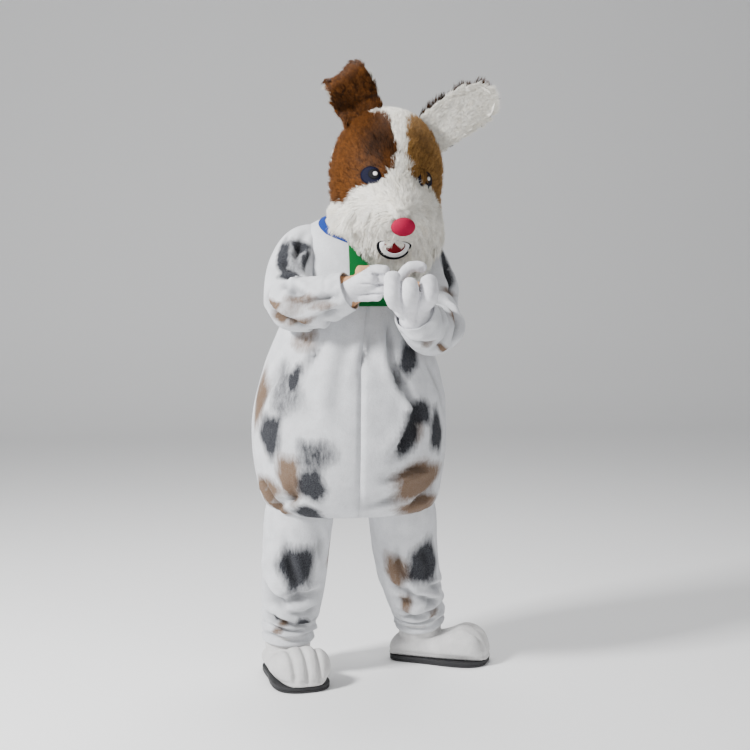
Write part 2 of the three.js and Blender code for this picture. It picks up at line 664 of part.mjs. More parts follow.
// Gloves: a hand that starts inside the cuff, and digits as tubes with rounded tips
const HANDS = {
  left: [
    { x: -20, y: -299, z: 1270, a: 38, b: 48 },
    { x: 10, y: -316, z: 1282, a: 34, b: 52 },
    { x: 34, y: -328, z: 1284, a: 26, b: 46 },
    { x: 48, y: -334, z: 1284, a: 3, b: 5 },
  ],
  right: [
    { x: 140, y: -340, z: 1218, a: 46, b: 62 },
    { x: 132, y: -354, z: 1246, a: 42, b: 74 },
    { x: 130, y: -358, z: 1274, a: 36, b: 66 },
    { x: 130, y: -358, z: 1294, a: 3, b: 5 },
  ],
};
const WRIST = 0.84;            // the glove narrows to this share of the cuff
const DIGITS = {
  left: [
    { from: [-30, -308, 1319], to: [70, -346, 1322], r: 18 },
    { from: [-36, -314, 1296], to: [68, -350, 1292], r: 17 },
    { from: [-36, -314, 1267], to: [62, -348, 1264], r: 17 },
    { from: [-26, -308, 1243], to: [48, -340, 1246], r: 16 },
  ],
  right: [
    { from: [100, -352, 1224], bend: [70, -400, 1244], to: [72, -390, 1320], r: 26 },
    { from: [127, -352, 1224], bend: [119, -410, 1244], to: [120, -396, 1297], r: 27 },
    { from: [165, -350, 1226], bend: [178, -402, 1244], to: [176, -384, 1307], r: 27 },
    { from: [98, -348, 1284], bend: [128, -350, 1330], to: [180, -356, 1324], r: 17 },
  ],
};
const HAND_RINGS = 4;
const DIGIT_RINGS = 5;
const LINING_RINGS = 3;
const PALMS = {
  left: {
    outline: [[-72, 1300], [-46, 1304], [-8, 1336], [60, 1344], [60, 1400], [-72, 1400]],
    yFar: -200,
  },
  right: { outline: [[40, 1272], [220, 1272], [220, 1400], [40, 1400]], yFar: -200 },
};
const PALM_BACK = { x0: -40, x1: 60, z0: 1226, z1: 1345, y: -312 };

// A padded digit: a tube through its bend, rounded at both ends
function digit({ from, bend, to, r }, less) {
  const rings = less > 1 ? LINING_RINGS : DIGIT_RINGS;
  const sides = less > 1 ? LINING_SIDES : DIGIT_SIDES;
  const middle = bend ?? from.map((value, k) => (value + to[k]) / 2);
  const curve = new THREE.QuadraticBezierCurve3(
    vec(...from),
    bend ? vec(...middle.map((value, k) => 2 * value - (from[k] + to[k]) / 2)) : vec(...middle),
    vec(...to),
  );
  const length = curve.getLength();
  const radius = r - less;
  const rows = Array.from({ length: rings + 1 }, (_, i) => {
    const share = (less + (i / rings) * (length - 2 * less)) / length;
    const p = curve.getPoint(THREE.MathUtils.clamp(share, 0, 1));
    const toTip = THREE.MathUtils.clamp(Math.min(share, 1 - share) * length - less, 0, radius);
    const size = Math.max(Math.sqrt(radius ** 2 - (radius - toTip) ** 2), 1);
    return { x: p.x, y: p.y, z: p.z, a: size, b: size };
  });
  return solid(filled(tubeGrid(rows, rings, sides, [0.3, 0.4, 0.9])));
}

function handForm(side, less, raise) {
  const everySecond = (ring) => (less > 0 ? ring.filter((_, j) => j % 2 === 0) : ring);
  const [inCuff, cuffEnd] = sleeveTube(side, PLUSH + SEAM + less).slice(-2).map(everySecond);
  const middle = middleOf(cuffEnd);
  const wrist = cuffEnd.map((p) => middle.clone().lerp(p, WRIST));
  const firstSide = cuffEnd[0].clone().sub(middle).toArray();
  const hand = tubeGrid(thinner(HANDS[side], less), HAND_RINGS, inCuff.length, firstSide);
  const lifted = inCuff.map((p, j) => p.clone().add(p.clone().sub(cuffEnd[j]).setLength(raise)));
  return solid(filled([raise > 0 ? lifted : inCuff, wrist, ...hand]));
}

function glovePieces(side, cuffGrown) {
  const joined = (less, raise) => DIGITS[side]
    .reduce((body, row) => body.add(digit(row, less)), handForm(side, less, raise));
  const glove = joined(0, 0).subtract(joined(GLOVE_WALL, 15)).subtract(cuffGrown);
  const region = (grow) => {
    const { outline, yFar } = PALMS[side];
    const digits = DIGITS[side].map((row) => digit(row, grow));
    let place = prism(outline, -500, yFar, grow);
    if (side === 'left') {
      const { x0, x1, z0, z1, y } = PALM_BACK;
      place = place.add(prism([[x0, z0], [x1, z0], [x1, z1], [x0, z1]], y - grow, -100, grow));
    }
    return digits.reduce((body, one) => body.subtract(one), place);
  };
  return {
    [`glove_${side}`]: mainBody(glove.subtract(region(SEAM / 2))),
    [`palm_${side}`]: mainBody(glove.intersect(region(-SEAM / 2))),
  };
}

// Boots, each in its own frame: the toe points to -Y and the ankle stands over the origin
const BOOTS = {
  left: { at: [-207, 33, 0], turn: 10 },
  right: { at: [256, 150, 0], turn: 64 },
};
const BOOT = [
  { y: 98, half: 30, high: 40 },
  { y: 88, half: 58, high: 68 },
  { y: 60, half: 74, high: 88 },
  { y: 10, half: 80, high: 92 },
  { y: -50, half: 84, high: 93 },
  { y: -105, half: 92, high: 108 },
  { y: -160, half: 94, high: 130 },
  { y: -205, half: 84, high: 116 },
  { y: -232, half: 58, high: 84 },
  { y: -243, half: 26, high: 50 },
];
const BOOT_RINGS = 9;
const BOOT_LINING_RINGS = 6;
const SHAFT_FOOT = { z: 60, a: 66, b: 71 };   // where the shaft ends inside the foot

function bootForm(less) {
  const count = less > 0 ? BOOT_LINING_RINGS : BOOT_RINGS;
  const sides = less > 0 ? BOOT_LINING_SIDES : BOOT_SIDES;
  const rings = Array.from({ length: count + 1 }, (_, i) => {
    const row = between(BOOT, i / count);
    const middle = SOLE_THICK / 2 + row.high / 2 - 6;
    const end = i === 0 ? -less : i === count ? less : 0;
    return Array.from({ length: sides }, (__, j) => {
      const turn = rad((360 * j) / sides);
      const [s, c] = [Math.sin(turn), Math.cos(turn)];
      return vec(
        (row.half - less) * Math.sign(c) * Math.abs(c) ** 0.8,
        row.y + end,
        middle + (row.high - middle - less) * Math.sign(s) * Math.abs(s) ** 0.9,
      );
    });
  });
  const below = [[-200, -60], [200, -60], [200, SOLE_THICK], [-200, SOLE_THICK]];
  return solid(filled(rings)).subtract(prism(below, -400, 300));
}

// The shaft follows the inside of the leg's hem and ends inside the foot
function shaftForm(side, less, raise) {
  const { at, turn } = BOOTS[side];
  const rings = legGrid(side, PLUSH + SEAM + less).slice(-2);
  const foot = Array.from({ length: LEG_SIDES }, (_, j) => {
    const angle = (2 * Math.PI * j) / LEG_SIDES;
    return vec(
      at[0] + (SHAFT_FOOT.a - less) * Math.cos(angle),
      at[1] + (SHAFT_FOOT.b - less) * Math.sin(angle),
      SHAFT_FOOT.z,
    );
  });
  const lifted = rings[0].map((p, j) => p.clone().add(p.clone().sub(rings[1][j]).setLength(raise)));
  const matrix = new THREE.Matrix4().makeRotationZ(rad(turn)).setPosition(...at).invert();
  return solid(filled([raise > 0 ? lifted : rings[0], rings[1], foot]).applyMatrix4(matrix));
}

function bootUpper(side) {
  const inner = bootForm(BOOT_WALL).add(shaftForm(side, BOOT_WALL, 20));
  const bottom = prism([[-60, 0], [60, 0], [60, 60], [-60, 60]], -190, 60);
  return mainBody(bootForm(0).add(shaftForm(side, 0, 0)).subtract(inner).subtract(bottom));
}

function soleGeometry() {
  const edge = BOOT.map((row) => [row.half - 3, row.y]);
  const outline = [...edge, ...edge.map(([x, y]) => [-x, y]).reverse()];
  const shape = new THREE.Shape(outline.map(([x, y]) => new THREE.Vector2(x, y)));
  const plate = new THREE.ExtrudeGeometry(shape, { depth: SOLE_THICK - SEAM, bevelEnabled: false });
  return geometryFrom(trianglesOf(plate));
}

// The costume put together
const costume = new THREE.Group();
costume.position.set(...SHOULDERS).negate();

const bores = [];
const sleeveForms = [];
for (const side of ['left', 'right']) {
  const outer = sleeveTube(side, 0);
  const inner = sleeveTube(side, PLUSH);
  const sleeve = solid(wall(outer, inner, true)).subtract(bodyFilled);
  costume.add(mesh(`sleeve_${side}`, geometryOf(mainBody(sleeve)), WHITE_PLUSH));
  bores.push(solid(filled(inner)));
  sleeveForms.push(solid(filled(moved(outer, SEAM, true))));
  const cuffGrown = solid(wall(moved(outer, SEAM, true), moved(inner, -SEAM / 2, true), true));
  for (const [name, piece] of Object.entries(glovePieces(side, cuffGrown))) {
    costume.add(mesh(name, geometryOf(piece), name.startsWith('palm') ? BEIGE_PLUSH : WHITE_PLUSH));
  }

  const [legFront, legBack] = legHalves(side);
  costume.add(mesh(`leg_${side}_front`, geometryOf(legFront), WHITE_PLUSH));
  costume.add(mesh(`leg_${side}_back`, geometryOf(legBack), WHITE_PLUSH));
  bores.push(solid(filled(legGrid(side, PLUSH))));

  const boot = new THREE.Group();
  boot.position.set(...BOOTS[side].at);
  boot.rotation.z = rad(BOOTS[side].turn);
  costume.add(boot);
  boot.add(mesh(`boot_${side}`, geometryOf(bootUpper(side)), WHITE_PLUSH));
  boot.add(mesh(`sole_${side}`, soleGeometry(), BLACK_SOLE));
}

// Columns of the body's seams: centre back, left side, centre front, right side
const SEAM_COLUMNS = [0, BODY_SIDES / 4, BODY_SIDES / 2, (3 * BODY_SIDES) / 4];
const PANEL_NAMES = ['suit_back_left', 'suit_front_left', 'suit_front_right', 'suit_back_right'];
panelsOf(BODY_OUTER, BODY_INNER, SEAM_COLUMNS).forEach((panel, i) => {
  const open = bores.reduce((body, bore) => body.subtract(bore), panel);
  costume.add(mesh(PANEL_NAMES[i], geometryOf(mainBody(open)), WHITE_PLUSH));
});

costume.add(mesh('collar', geometryOf(mainBody(collarBand(0).subtract(bodyFilled))), BLUE_CLOTH));
const collarGrown = collarBand(2 * SEAM);
costume.add(mesh('bib', geometryOf(bibSolid(BIB.thick, 0).subtract(collarGrown)), GREEN_CLOTH));

const head = new THREE.Group();
head.applyMatrix4(HEAD_MATRIX);
costume.add(head);
const HEAD_LOOKS = { head_patch_left: BROWN_FUR, head_patch_right: TAN_FUR };
const trim = [bodyFilled, collarGrown, bibSolid(BIB.thick + 3 * SEAM, 3 * SEAM), ...sleeveForms]
  .reduce((form, next) => form.add(next))
  .transform(HEAD_MATRIX.clone().invert().toArray());
for (const [name, piece] of Object.entries(headPieces(trim))) {
  head.add(mesh(name, geometryOf(piece), HEAD_LOOKS[name] ?? WHITE_FUR));
}
const headGrown = solid(filled(moved(headGrid(), SEAM, true)));
for (const [name, { body, look }] of Object.entries(facePieces(headGrown))) {
  head.add(mesh(name, geometryOf(body), look));
}
for (const side of ['left', 'right']) {
  const frontLook = side === 'left' ? BROWN_FUR : WHITE_FUR;
  const backLook = side === 'left' ? WHITE_FUR : BROWN_FUR;
  const frontName = side === 'left' ? 'ear_left_outer' : 'ear_right_lining';
  const backName = side === 'left' ? 'ear_left_lining' : 'ear_right_outer';
  const layer = (from, to) => mainBody(earLayer(side, from, to).subtract(headGrown));
  head.add(mesh(frontName, geometryOf(layer(SEAM / 2, EAR_LAYER)), frontLook));
  head.add(mesh(backName, geometryOf(layer(-EAR_LAYER, -SEAM / 2)), backLook));
}

export default costume;
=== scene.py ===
import bpy
import numpy as np
from mathutils import Matrix, Vector, kdtree


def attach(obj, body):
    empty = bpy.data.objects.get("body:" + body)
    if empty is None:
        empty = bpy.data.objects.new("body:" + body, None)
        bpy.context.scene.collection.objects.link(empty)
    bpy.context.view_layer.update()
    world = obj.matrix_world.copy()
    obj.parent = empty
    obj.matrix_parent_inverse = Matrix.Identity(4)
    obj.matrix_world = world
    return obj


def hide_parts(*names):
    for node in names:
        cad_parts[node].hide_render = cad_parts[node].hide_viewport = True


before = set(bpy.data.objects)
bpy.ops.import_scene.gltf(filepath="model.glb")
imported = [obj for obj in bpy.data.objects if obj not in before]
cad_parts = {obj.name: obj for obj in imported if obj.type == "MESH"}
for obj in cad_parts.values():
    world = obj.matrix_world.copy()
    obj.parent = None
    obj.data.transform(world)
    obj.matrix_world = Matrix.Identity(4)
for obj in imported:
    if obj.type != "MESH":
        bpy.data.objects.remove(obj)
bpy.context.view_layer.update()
bpy.ops.object.select_all(action="DESELECT")


# Photographer's place: the camera looks at the costume's front, a little from its left and
# from just above its middle, so that the floor shows as a pale sheet with no horizon.
AIM = Vector((0.029, -0.018, -0.465))
CAMERA_TURN = np.radians(-9)
CAMERA_RISE = np.radians(4)
CAMERA_AWAY = 4.5
FOCAL_LENGTH, PICTURE_WIDTH = 1385, 750     # pixels
back = Vector((
    np.sin(CAMERA_TURN) * np.cos(CAMERA_RISE),
    -np.cos(CAMERA_TURN) * np.cos(CAMERA_RISE),
    np.sin(CAMERA_RISE),
))
camera_data = bpy.data.cameras.new("camera")
camera_data.lens = FOCAL_LENGTH / PICTURE_WIDTH * camera_data.sensor_width
camera = bpy.data.objects.new("camera", camera_data)
camera.location = AIM + CAMERA_AWAY * back
camera.rotation_euler = (-back).to_track_quat("-Z", "Y").to_euler()
bpy.context.scene.collection.objects.link(camera)
bpy.context.scene.camera = camera


# Studio: a wide floor of matt paper that curves up behind the costume, one large soft light
# from the left and above, a weaker one from the right, and an even pale room.
FLOOR_Z = -1.45
PAPER_CURVE = ((0.5, 0.1), (0.45, 0.35), (0.25, 0.6), (0.1, 1.2), (0, 4))    # steps back and up
LIGHTS_AIM = Vector((0, 0, -0.4))
bpy.ops.mesh.primitive_plane_add(size=14, location=(0, 0, FLOOR_Z))
floor = bpy.context.object
floor.name = "paper_floor"
bpy.ops.object.mode_set(mode="EDIT")
bpy.ops.mesh.select_mode(type="EDGE")
bpy.ops.mesh.select_all(action="DESELECT")
bpy.ops.object.mode_set(mode="OBJECT")
for edge in floor.data.edges:
    edge.select = all(floor.data.vertices[v].co.y > 0 for v in edge.vertices)
bpy.ops.object.mode_set(mode="EDIT")
for step_back, step_up in PAPER_CURVE:
    bpy.ops.mesh.extrude_region_move(TRANSFORM_OT_translate={"value": (0, step_back, step_up)})
bpy.ops.object.mode_set(mode="OBJECT")
bpy.ops.object.shade_smooth()
bpy.ops.object.transform_apply(location=True, rotation=False, scale=False)
paper = bpy.data.materials.new("matt_paper")
paper.use_nodes = True
paper_shader = paper.node_tree.nodes["Principled BSDF"]
paper_shader.inputs["Base Color"].default_value = (0.97, 0.97, 0.97, 1)
paper_shader.inputs["Roughness"].default_value = 0.9
floor.data.materials.append(paper)

for name, place, size, power in (
    ("key_light", (-3.5, -1.7, 1.9), 0.8, 400),
    ("fill_light", (2.6, -3.4, 0.8), 2.4, 30),
    ("top_light", (0.2, 1.2, 3.2), 2.2, 110),
):
    light_data = bpy.data.lights.new(name, "AREA")
    light_data.size = size
    light_data.energy = power
    light = bpy.data.objects.new(name, light_data)
    light.location = place
    light.rotation_euler = (LIGHTS_AIM - light.location).to_track_quat("-Z", "Y").to_euler()
    bpy.context.scene.collection.objects.link(light)
room = bpy.data.worlds.new("pale_room")
room.use_nodes = True
room.node_tree.nodes["Background"].inputs["Color"].default_value = (0.97, 0.98, 1.0, 1)
room.node_tree.nodes["Background"].inputs["Strength"].default_value = 0.33
bpy.context.scene.world = room


# Jumpsuit body: four panels of white short-pile plush, two in front and two behind, sewn down
# the middles and sides. It hangs from the shoulders and bags round the belly and hips.
SHOULDERS = np.array([48, 6, 1450])
PLUSH = 4.5                     # cloth with its pile
PANEL_ROWS = 92
PANEL_COLUMNS = 34              # of each of the four panels
BODY = np.array([               # z, centre x, centre y, half width, reach to the front, to the back
    [1522, 52, 8, 84, 84, 80],
    [1502, 50, 8, 116, 100, 92],
    [1478, 48, 6, 168, 118, 106],
    [1448, 45, 4, 205, 134, 120],
    [1400, 42, 2, 219, 152, 136],
    [1320, 36, 0, 218, 168, 152],
    [1230, 28, 0, 222, 182, 168],
    [1140, 14, 0, 246, 212, 186],
    [1040, 0, 0, 274, 244, 204],
    [940, -5, 0, 300, 264, 216],
    [840, -7, 0, 315, 272, 222],
    [740, -7, 0, 313, 266, 220],
    [655, -6, 0, 301, 246, 210],
    [592, -3, 0, 286, 216, 192],
    [556, 0, 0, 258, 178, 164],
    [538, 0, 0, 196, 128, 122],
    [530, 0, 0, 1.5, 1.5, 1.5],
])
BODY_SQUARE = 2.25
MM_PER_DEGREE = 4.6             # round the body
BODY_CREASE_DEPTH = 1.9         # how much deeper the creases go than the tables say
TROUGH_MOST = 0.6               # how far the shade goes in the troughs of the creases
BODY_CREASES = [                # from turn, z to turn, z, with width and depth in mm
    (14, 1150, 22, 975, 13, -14),
    (22, 975, 34, 900, 13, -13),
    (34, 900, 17, 735, 15, -12),
    (52, 1020, 66, 900, 16, -10),
    (12, 674, 46, 716, 13, -11),
    (3, 580, 24, 626, 12, -9),
    (30, 556, 56, 642, 13, -11),
    (-78, 660, -60, 584, 13, -11),
    (-70, 566, -34, 624, 13, -10),
    (-27, 1110, -35, 1000, 14, -10),
    (-12, 1100, -11, 860, 20, -5),
    (4, 1160, -1, 990, 12, -7),
    (-56, 1060, -70, 900, 18, -8),
    (150, 1120, 160, 900, 26, -9),
    (-146, 1080, -158, 880, 28, -8),
    (118, 940, 140, 800, 28, -7),
    (-20, 900, -62, 850, 22, -4),
    (-40, 660, -46, 590, 14, -5),
    (78, 1050, 92, 900, 24, -6),
    (-96, 980, -112, 830, 24, -6),
    (176, 1300, 168, 1150, 22, -6),
    (-168, 1330, -150, 1240, 20, -5),
    (140, 760, 118, 660, 22, -6),
    (-128, 740, -104, 640, 22, -6),
    (168, 700, 150, 600, 18, -5),
]


def creases_in_mm(creases, mm_per_degree):
    """Creases with their turns made into mm across the cloth."""
    return [(a * mm_per_degree, b, c * mm_per_degree, d, w, e) for a, b, c, d, w, e in creases]


def spots_in_mm(spots, mm_per_degree):
    """Spots with their turns made into mm across the cloth."""
    return [(tone, turn * mm_per_degree, *rest) for tone, turn, *rest in spots]


def between(rows, t):
    """Values between the rows of a table, on a smooth curve; t runs from 0 to 1 over them."""
    place = np.clip(t, 0, 1) * (len(rows) - 1)
    i = np.minimum(place.astype(int), len(rows) - 2)
    f = (place - i)[..., None]
    here, there = rows[i], rows[i + 1]
    slope_here = (there - rows[np.maximum(i - 1, 0)]) / 2
    slope_there = (rows[np.minimum(i + 2, len(rows) - 1)] - here) / 2
    return (
        (2 * f**3 - 3 * f**2 + 1) * here
        + (f**3 - 2 * f**2 + f) * slope_here
        + (3 * f**2 - 2 * f**3) * there
        + (f**3 - f**2) * slope_there
    )


def nearness(distance, width):
    """1 at no distance, fading to almost nothing over twice the width."""
    return np.exp(-((distance / width) ** 2))


def risen(value, start, over):
    """0 up to the start, 1 once the value is this far over it."""
    return np.clip((value - start) / over, 0, 1)


def unit(v, least=0.0):
    """Directions of length 1."""
    return v / (np.linalg.norm(v, axis=-1, keepdims=True) + least)


def pressed(across, down, creases):
    """How far the listed creases press the cloth in, with a softer, uneven ridge along one side."""
    total = np.zeros(np.broadcast(across, down).shape)
    for x0, z0, x1, z1, width, depth in creases:
        long = np.hypot(x1 - x0, z1 - z0)
        ux, uz = (x1 - x0) / long, (z1 - z0) / long
        along = (across - x0) * ux + (down - z0) * uz
        share = np.clip(along / long, 0, 1)
        beyond = along - share * long
        side = (across - x0) * uz - (down - z0) * ux + 0.35 * width * np.sin(5 * share + x0)
        fade = np.sin(np.pi * (0.1 + 0.8 * share)) * (1 + 0.25 * np.sin(9 * share + z0))
        press = depth * fade * nearness(beyond, width)
        total += press * nearness(side, width)
        total -= 0.55 * press * nearness(side - 1.7 * width, 1.1 * width)
    return total


def placed(points):
    return (points - SHOULDERS) * 0.001


def share_at(z):
    """How far down the body's rows a height lies."""
    last = len(BODY) - 1
    i = np.clip(np.searchsorted(-BODY[:, 0], -z, side="right") - 1, 0, last - 1)
    return (i + (BODY[i, 0] - z) / (BODY[i, 0] - BODY[i + 1, 0])) / last


def body_point(turn, share, press=True):
    row = between(BODY, share)
    s, c = np.sin(np.radians(turn)), np.cos(np.radians(turn))
    reach = np.where(c > 0, row[..., 4], row[..., 5])
    bend = 0
    if press:
        creases = creases_in_mm(BODY_CREASES, MM_PER_DEGREE)
        bend = BODY_CREASE_DEPTH * pressed(turn * MM_PER_DEGREE, row[..., 0], creases)
        bend = bend * np.minimum(row[..., 3] / 200, 1)
    return np.stack([
        row[..., 1] + (row[..., 3] + bend) * np.sign(s) * np.abs(s) ** (2 / BODY_SQUARE),
        row[..., 2] - (reach + bend) * np.sign(c) * np.abs(c) ** (2 / BODY_SQUARE),
        row[..., 0] * np.ones_like(s),
    ], axis=-1)


def body_size(p):
    """1 on the body's outside, less within it."""
    row = between(BODY, share_at(p[..., 2]))
    dx, dy = p[..., 0] - row[..., 1], p[..., 1] - row[..., 2]
    reach = np.where(dy < 0, row[..., 4], row[..., 5])
    flat = (np.abs(dx) / row[..., 3]) ** BODY_SQUARE + (np.abs(dy) / reach) ** BODY_SQUARE
    return np.where(p[..., 2] > BODY[0, 0], 9, flat ** (1 / BODY_SQUARE))


def put_up(name, mesh):
    """An object of this mesh, picked for the tools that work on the active one."""
    piece = bpy.data.objects.new(name, mesh)
    bpy.context.scene.collection.objects.link(piece)
    bpy.ops.object.select_all(action="DESELECT")
    piece.select_set(True)
    bpy.context.view_layer.objects.active = piece
    return piece


def cloth(name, points, quads, wall, paint=None):
    """A cloth piece of these quads, with its faces out and its wall on the inside."""
    used, quads = np.unique(quads, return_inverse=True)
    mesh = bpy.data.meshes.new(name)
    mesh.from_pydata(placed(points[used]).tolist(), [], quads.reshape(-1, 4).tolist())
    for title, values in (paint or {}).items():
        layer = mesh.attributes.new(title, "FLOAT", "POINT")
        values = np.ascontiguousarray(values.reshape(-1)[used], dtype=np.float32)
        layer.data.foreach_set("value", values)
    piece = put_up(name, mesh)
    thick = piece.modifiers.new("cloth_wall", "SOLIDIFY")
    thick.thickness = wall * 0.001
    thick.offset = -1
    bpy.ops.object.modifier_apply(modifier="cloth_wall")
    bpy.ops.object.shade_smooth()
    return piece


def sewn_grid(name, points, closed=False, keep=None, wall=PLUSH, paint=None):
    """A cloth piece from a grid of points, joined round where it is closed."""
    rows, columns = points.shape[:2]
    number = np.arange(rows * columns).reshape(rows, columns)
    here = number if closed else number[:, :-1]
    beside = np.roll(number, -1, axis=1) if closed else number[:, 1:]
    quads = np.stack([here[:-1], here[1:], beside[1:], beside[:-1]], axis=-1)
    quads = quads.reshape(-1, 4) if keep is None else quads[keep]
    return cloth(name, points.reshape(-1, 3), quads, wall, paint)


def dress(piece, look, slot, node=None):
    """Give a piece its look and its place in the frame; it may take the place of a node."""
    piece.data.materials.append(look)
    if node:
        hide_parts(node)
    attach(piece, "root")


def sprayed(across, down, spots, kind):
    """Paint of one kind at each place: 1 in the middle of a spot, fading over its edge."""
    paint = np.zeros(np.broadcast(across, down).shape)
    for tone, x, z, half_x, half_z, tilt, strength in spots:
        if tone != kind:
            continue
        c, s = np.cos(np.radians(tilt)), np.sin(np.radians(tilt))
        u = ((across - x) * c + (down - z) * s) / half_x
        v = (-(across - x) * s + (down - z) * c) / half_z
        angle = np.arctan2(v, u)
        wavy = 1 + 0.1 * np.sin(3 * angle + x) + 0.07 * np.sin(5 * angle + z)
        edge = np.clip((1.55 - np.hypot(u, v) * wavy) / 1.0, 0, 1)
        paint = np.maximum(paint, strength * edge * edge * (3 - 2 * edge))
    return paint


BODY_SPOTS = [                  # tone, turn, z, half across, half up, tilt, strength
    ("brown", -77, 926, 42, 84, 6, 0.90),
    ("grey", -48, 950, 56, 76, 12, 0.62),
    ("grey", -42, 988, 19, 46, -8, 0.96),
    ("grey", -58, 812, 46, 62, 10, 1.0),
    ("grey", -24, 752, 50, 52, -14, 0.72),
    ("brown", -43, 680, 38, 72, 8, 0.96),
    ("grey", -27, 660, 40, 50, 8, 1.0),
    ("brown", -70, 628, 74, 44, 10, 0.90),
    ("brown", -62, 566, 44, 26, 0, 0.96),
    ("grey", -34, 562, 46, 24, 0, 1.00),
    ("grey", 31, 1048, 33, 52, -18, 1.00),
    ("grey", 23, 992, 16, 42, -10, 0.66),
    ("grey", 36, 878, 46, 34, 24, 1.00),
    ("grey", 27, 812, 26, 60, -14, 1.00),
    ("brown", 34, 826, 18, 40, -10, 0.60),
    ("grey", 52, 815, 32, 62, 4, 1.00),
    ("brown", 38, 664, 92, 56, 14, 1.00),
    ("brown", 48, 574, 96, 34, 0, 1.00),
    ("brown", -42, 1108, 50, 34, 6, 0.66),
    ("grey", 77, 1372, 10, 30, 10, 0.60),
    ("grey", 74, 1338, 8, 26, -8, 0.45),
    ("grey", 104, 1010, 46, 60, 12, 1.00),
    ("brown", 112, 800, 52, 50, -10, 0.84),
    ("grey", 146, 1190, 40, 52, 16, 0.96),
    ("brown", 152, 930, 60, 40, 0, 0.84),
    ("grey", 160, 730, 48, 60, 14, 1.00),
    ("grey", -160, 1080, 52, 58, -12, 1.00),
    ("brown", -150, 1270, 40, 46, 10, 0.84),
    ("grey", -128, 860, 50, 66, 8, 1.00),
    ("brown", -168, 820, 44, 56, -6, 0.84),
    ("grey", -146, 640, 56, 40, 0, 0.96),
    ("brown", 176, 600, 60, 30, 0, 0.84),
    ("grey", -108, 1080, 38, 50, -10, 0.84),
]
SEAM_DEEP = 3.2                 # how far a sewn seam pulls the plush in
SEAM_WIDE = 7
NECK_OPEN = 1500                # the neck's edge, under the head
SLEEVE_SIDES = 72
SLEEVE_ROWS = 96
SLEEVE_FACING = np.array([0, -1.0, 0])
SLEEVES = {                     # centre x, y, z and half sizes, from inside the shoulder to the cuff
    "left": np.array([
        [-85, 0, 1392, 70, 78],
        [-150, -22, 1382, 76, 84],
        [-192, -62, 1325, 76, 84],
        [-210, -115, 1262, 80, 80],
        [-203, -168, 1222, 86, 84],
        [-160, -212, 1222, 82, 80],
        [-100, -250, 1238, 74, 74],
        [-44, -282, 1260, 60, 62],
    ]),
    "right": np.array([
        [172, 0, 1368, 70, 78],
        [222, -16, 1356, 74, 84],
        [240, -52, 1288, 74, 84],
        [250, -98, 1205, 76, 82],
        [246, -156, 1146, 80, 84],
        [215, -222, 1138, 80, 78],
        [178, -282, 1162, 74, 70],
        [150, -322, 1196, 66, 66],
    ]),
}


def tube(rows, rings, sides, facing, shape=None):
    """Rings round a bent centre line, as a cut and sewn tube has. Turn 0 lies on the facing side."""
    t = np.linspace(0, 1, rings)
    row = between(rows, t)
    ahead = between(rows, np.minimum(t + 0.01, 1))
    behind = between(rows, np.maximum(t - 0.01, 0))
    along = unit(ahead[:, :3] - behind[:, :3])
    turns = np.linspace(0, 360, sides, endpoint=False)
    c, s = np.cos(np.radians(turns)), np.sin(np.radians(turns))
    side = facing.astype(float)
    points = np.zeros((rings, sides, 3))
    for i in range(rings):
        side = unit(side - side @ along[i] * along[i])
        up = np.cross(side, along[i])
        swell = 0 if shape is None else shape(turns, t[i])
        points[i] = (
            row[i, :3]
            + ((row[i, 3] + swell) * c)[:, None] * side
            + ((row[i, 4] + swell) * s)[:, None] * up
        )
    return points, turns, t


def clear_of_body(points, clearance):
    """Points pressed out of the body to this clearance, where a sleeve lies against it."""
    row = between(BODY, share_at(points[..., 2]))
    d = points[..., :2] - row[..., 1:3]
    reach = np.where(d[..., 1] < 0, row[..., 4], row[..., 5])
    size = (
        (np.abs(d[..., 0]) / (row[..., 3] + clearance)) ** BODY_SQUARE
        + (np.abs(d[..., 1]) / (reach + clearance)) ** BODY_SQUARE
    ) ** (1 / BODY_SQUARE)
    out = points.copy()
    out[..., :2] = row[..., 1:3] + d / np.minimum(np.maximum(size, 0.01), 1)[..., None]
    return out


def inside_sleeve(points, side, margin):
    """True where a point lies within a sleeve's tube by this margin."""
    centres = between(SLEEVES[side], np.linspace(0, 0.6, 40))
    near = np.full(points.shape[:-1], 9.0)
    for centre in centres:
        away = np.linalg.norm(points - centre[:3], axis=-1)
        near = np.minimum(near, away / (centre[3:].mean() - margin))
    return near < 1


def set_input(look, node, title, value):
    """Set an input to a value, or link it where the value is another node's output."""
    if isinstance(value, bpy.types.NodeSocket):
        look.node_tree.links.new(value, node.inputs[title])
    else:
        node.inputs[title].default_value = value


def add_node(look, kind, output, inputs, **settings):
    """The named output of a new shader node."""
    node = look.node_tree.nodes.new("ShaderNode" + kind)
    for title, value in settings.items():
        setattr(node, title, value)
    for title, value in inputs.items():
        set_input(look, node, title, value)
    return node.outputs[output]


def new_look(name, rough, shine):
    """A plain material and its shader."""
    look = bpy.data.materials.new(name)
    look.use_nodes = True
    shader = look.node_tree.nodes["Principled BSDF"]
    set_input(look, shader, "Roughness", rough)
    set_input(look, shader, "Specular IOR Level", shine)
    return look, shader


def noise(look, scale, detail, rough=0.5, stretch=None):
    place = add_node(look, "TexCoord", "Object", {})
    if stretch:
        place = add_node(look, "Mapping", "Vector", {"Vector": place, "Scale": stretch})
    inputs = {"Vector": place, "Scale": scale, "Detail": detail, "Roughness": rough}
    return add_node(look, "TexNoise", "Fac", inputs)


def marked(look, title):
    """The values that a piece carries under this title."""
    return add_node(look, "Attribute", "Fac", {}, attribute_name=title)


def ranged(look, value, low, high, to_low, to_high):
    return add_node(look, "MapRange", "Result", {
        "Value": value,
        "From Min": low,
        "From Max": high,
        "To Min": to_low,
        "To Max": to_high,
    })


def combined(look, operation, a, b):
    return add_node(look, "Math", "Value", {0: a, 1: b}, operation=operation)


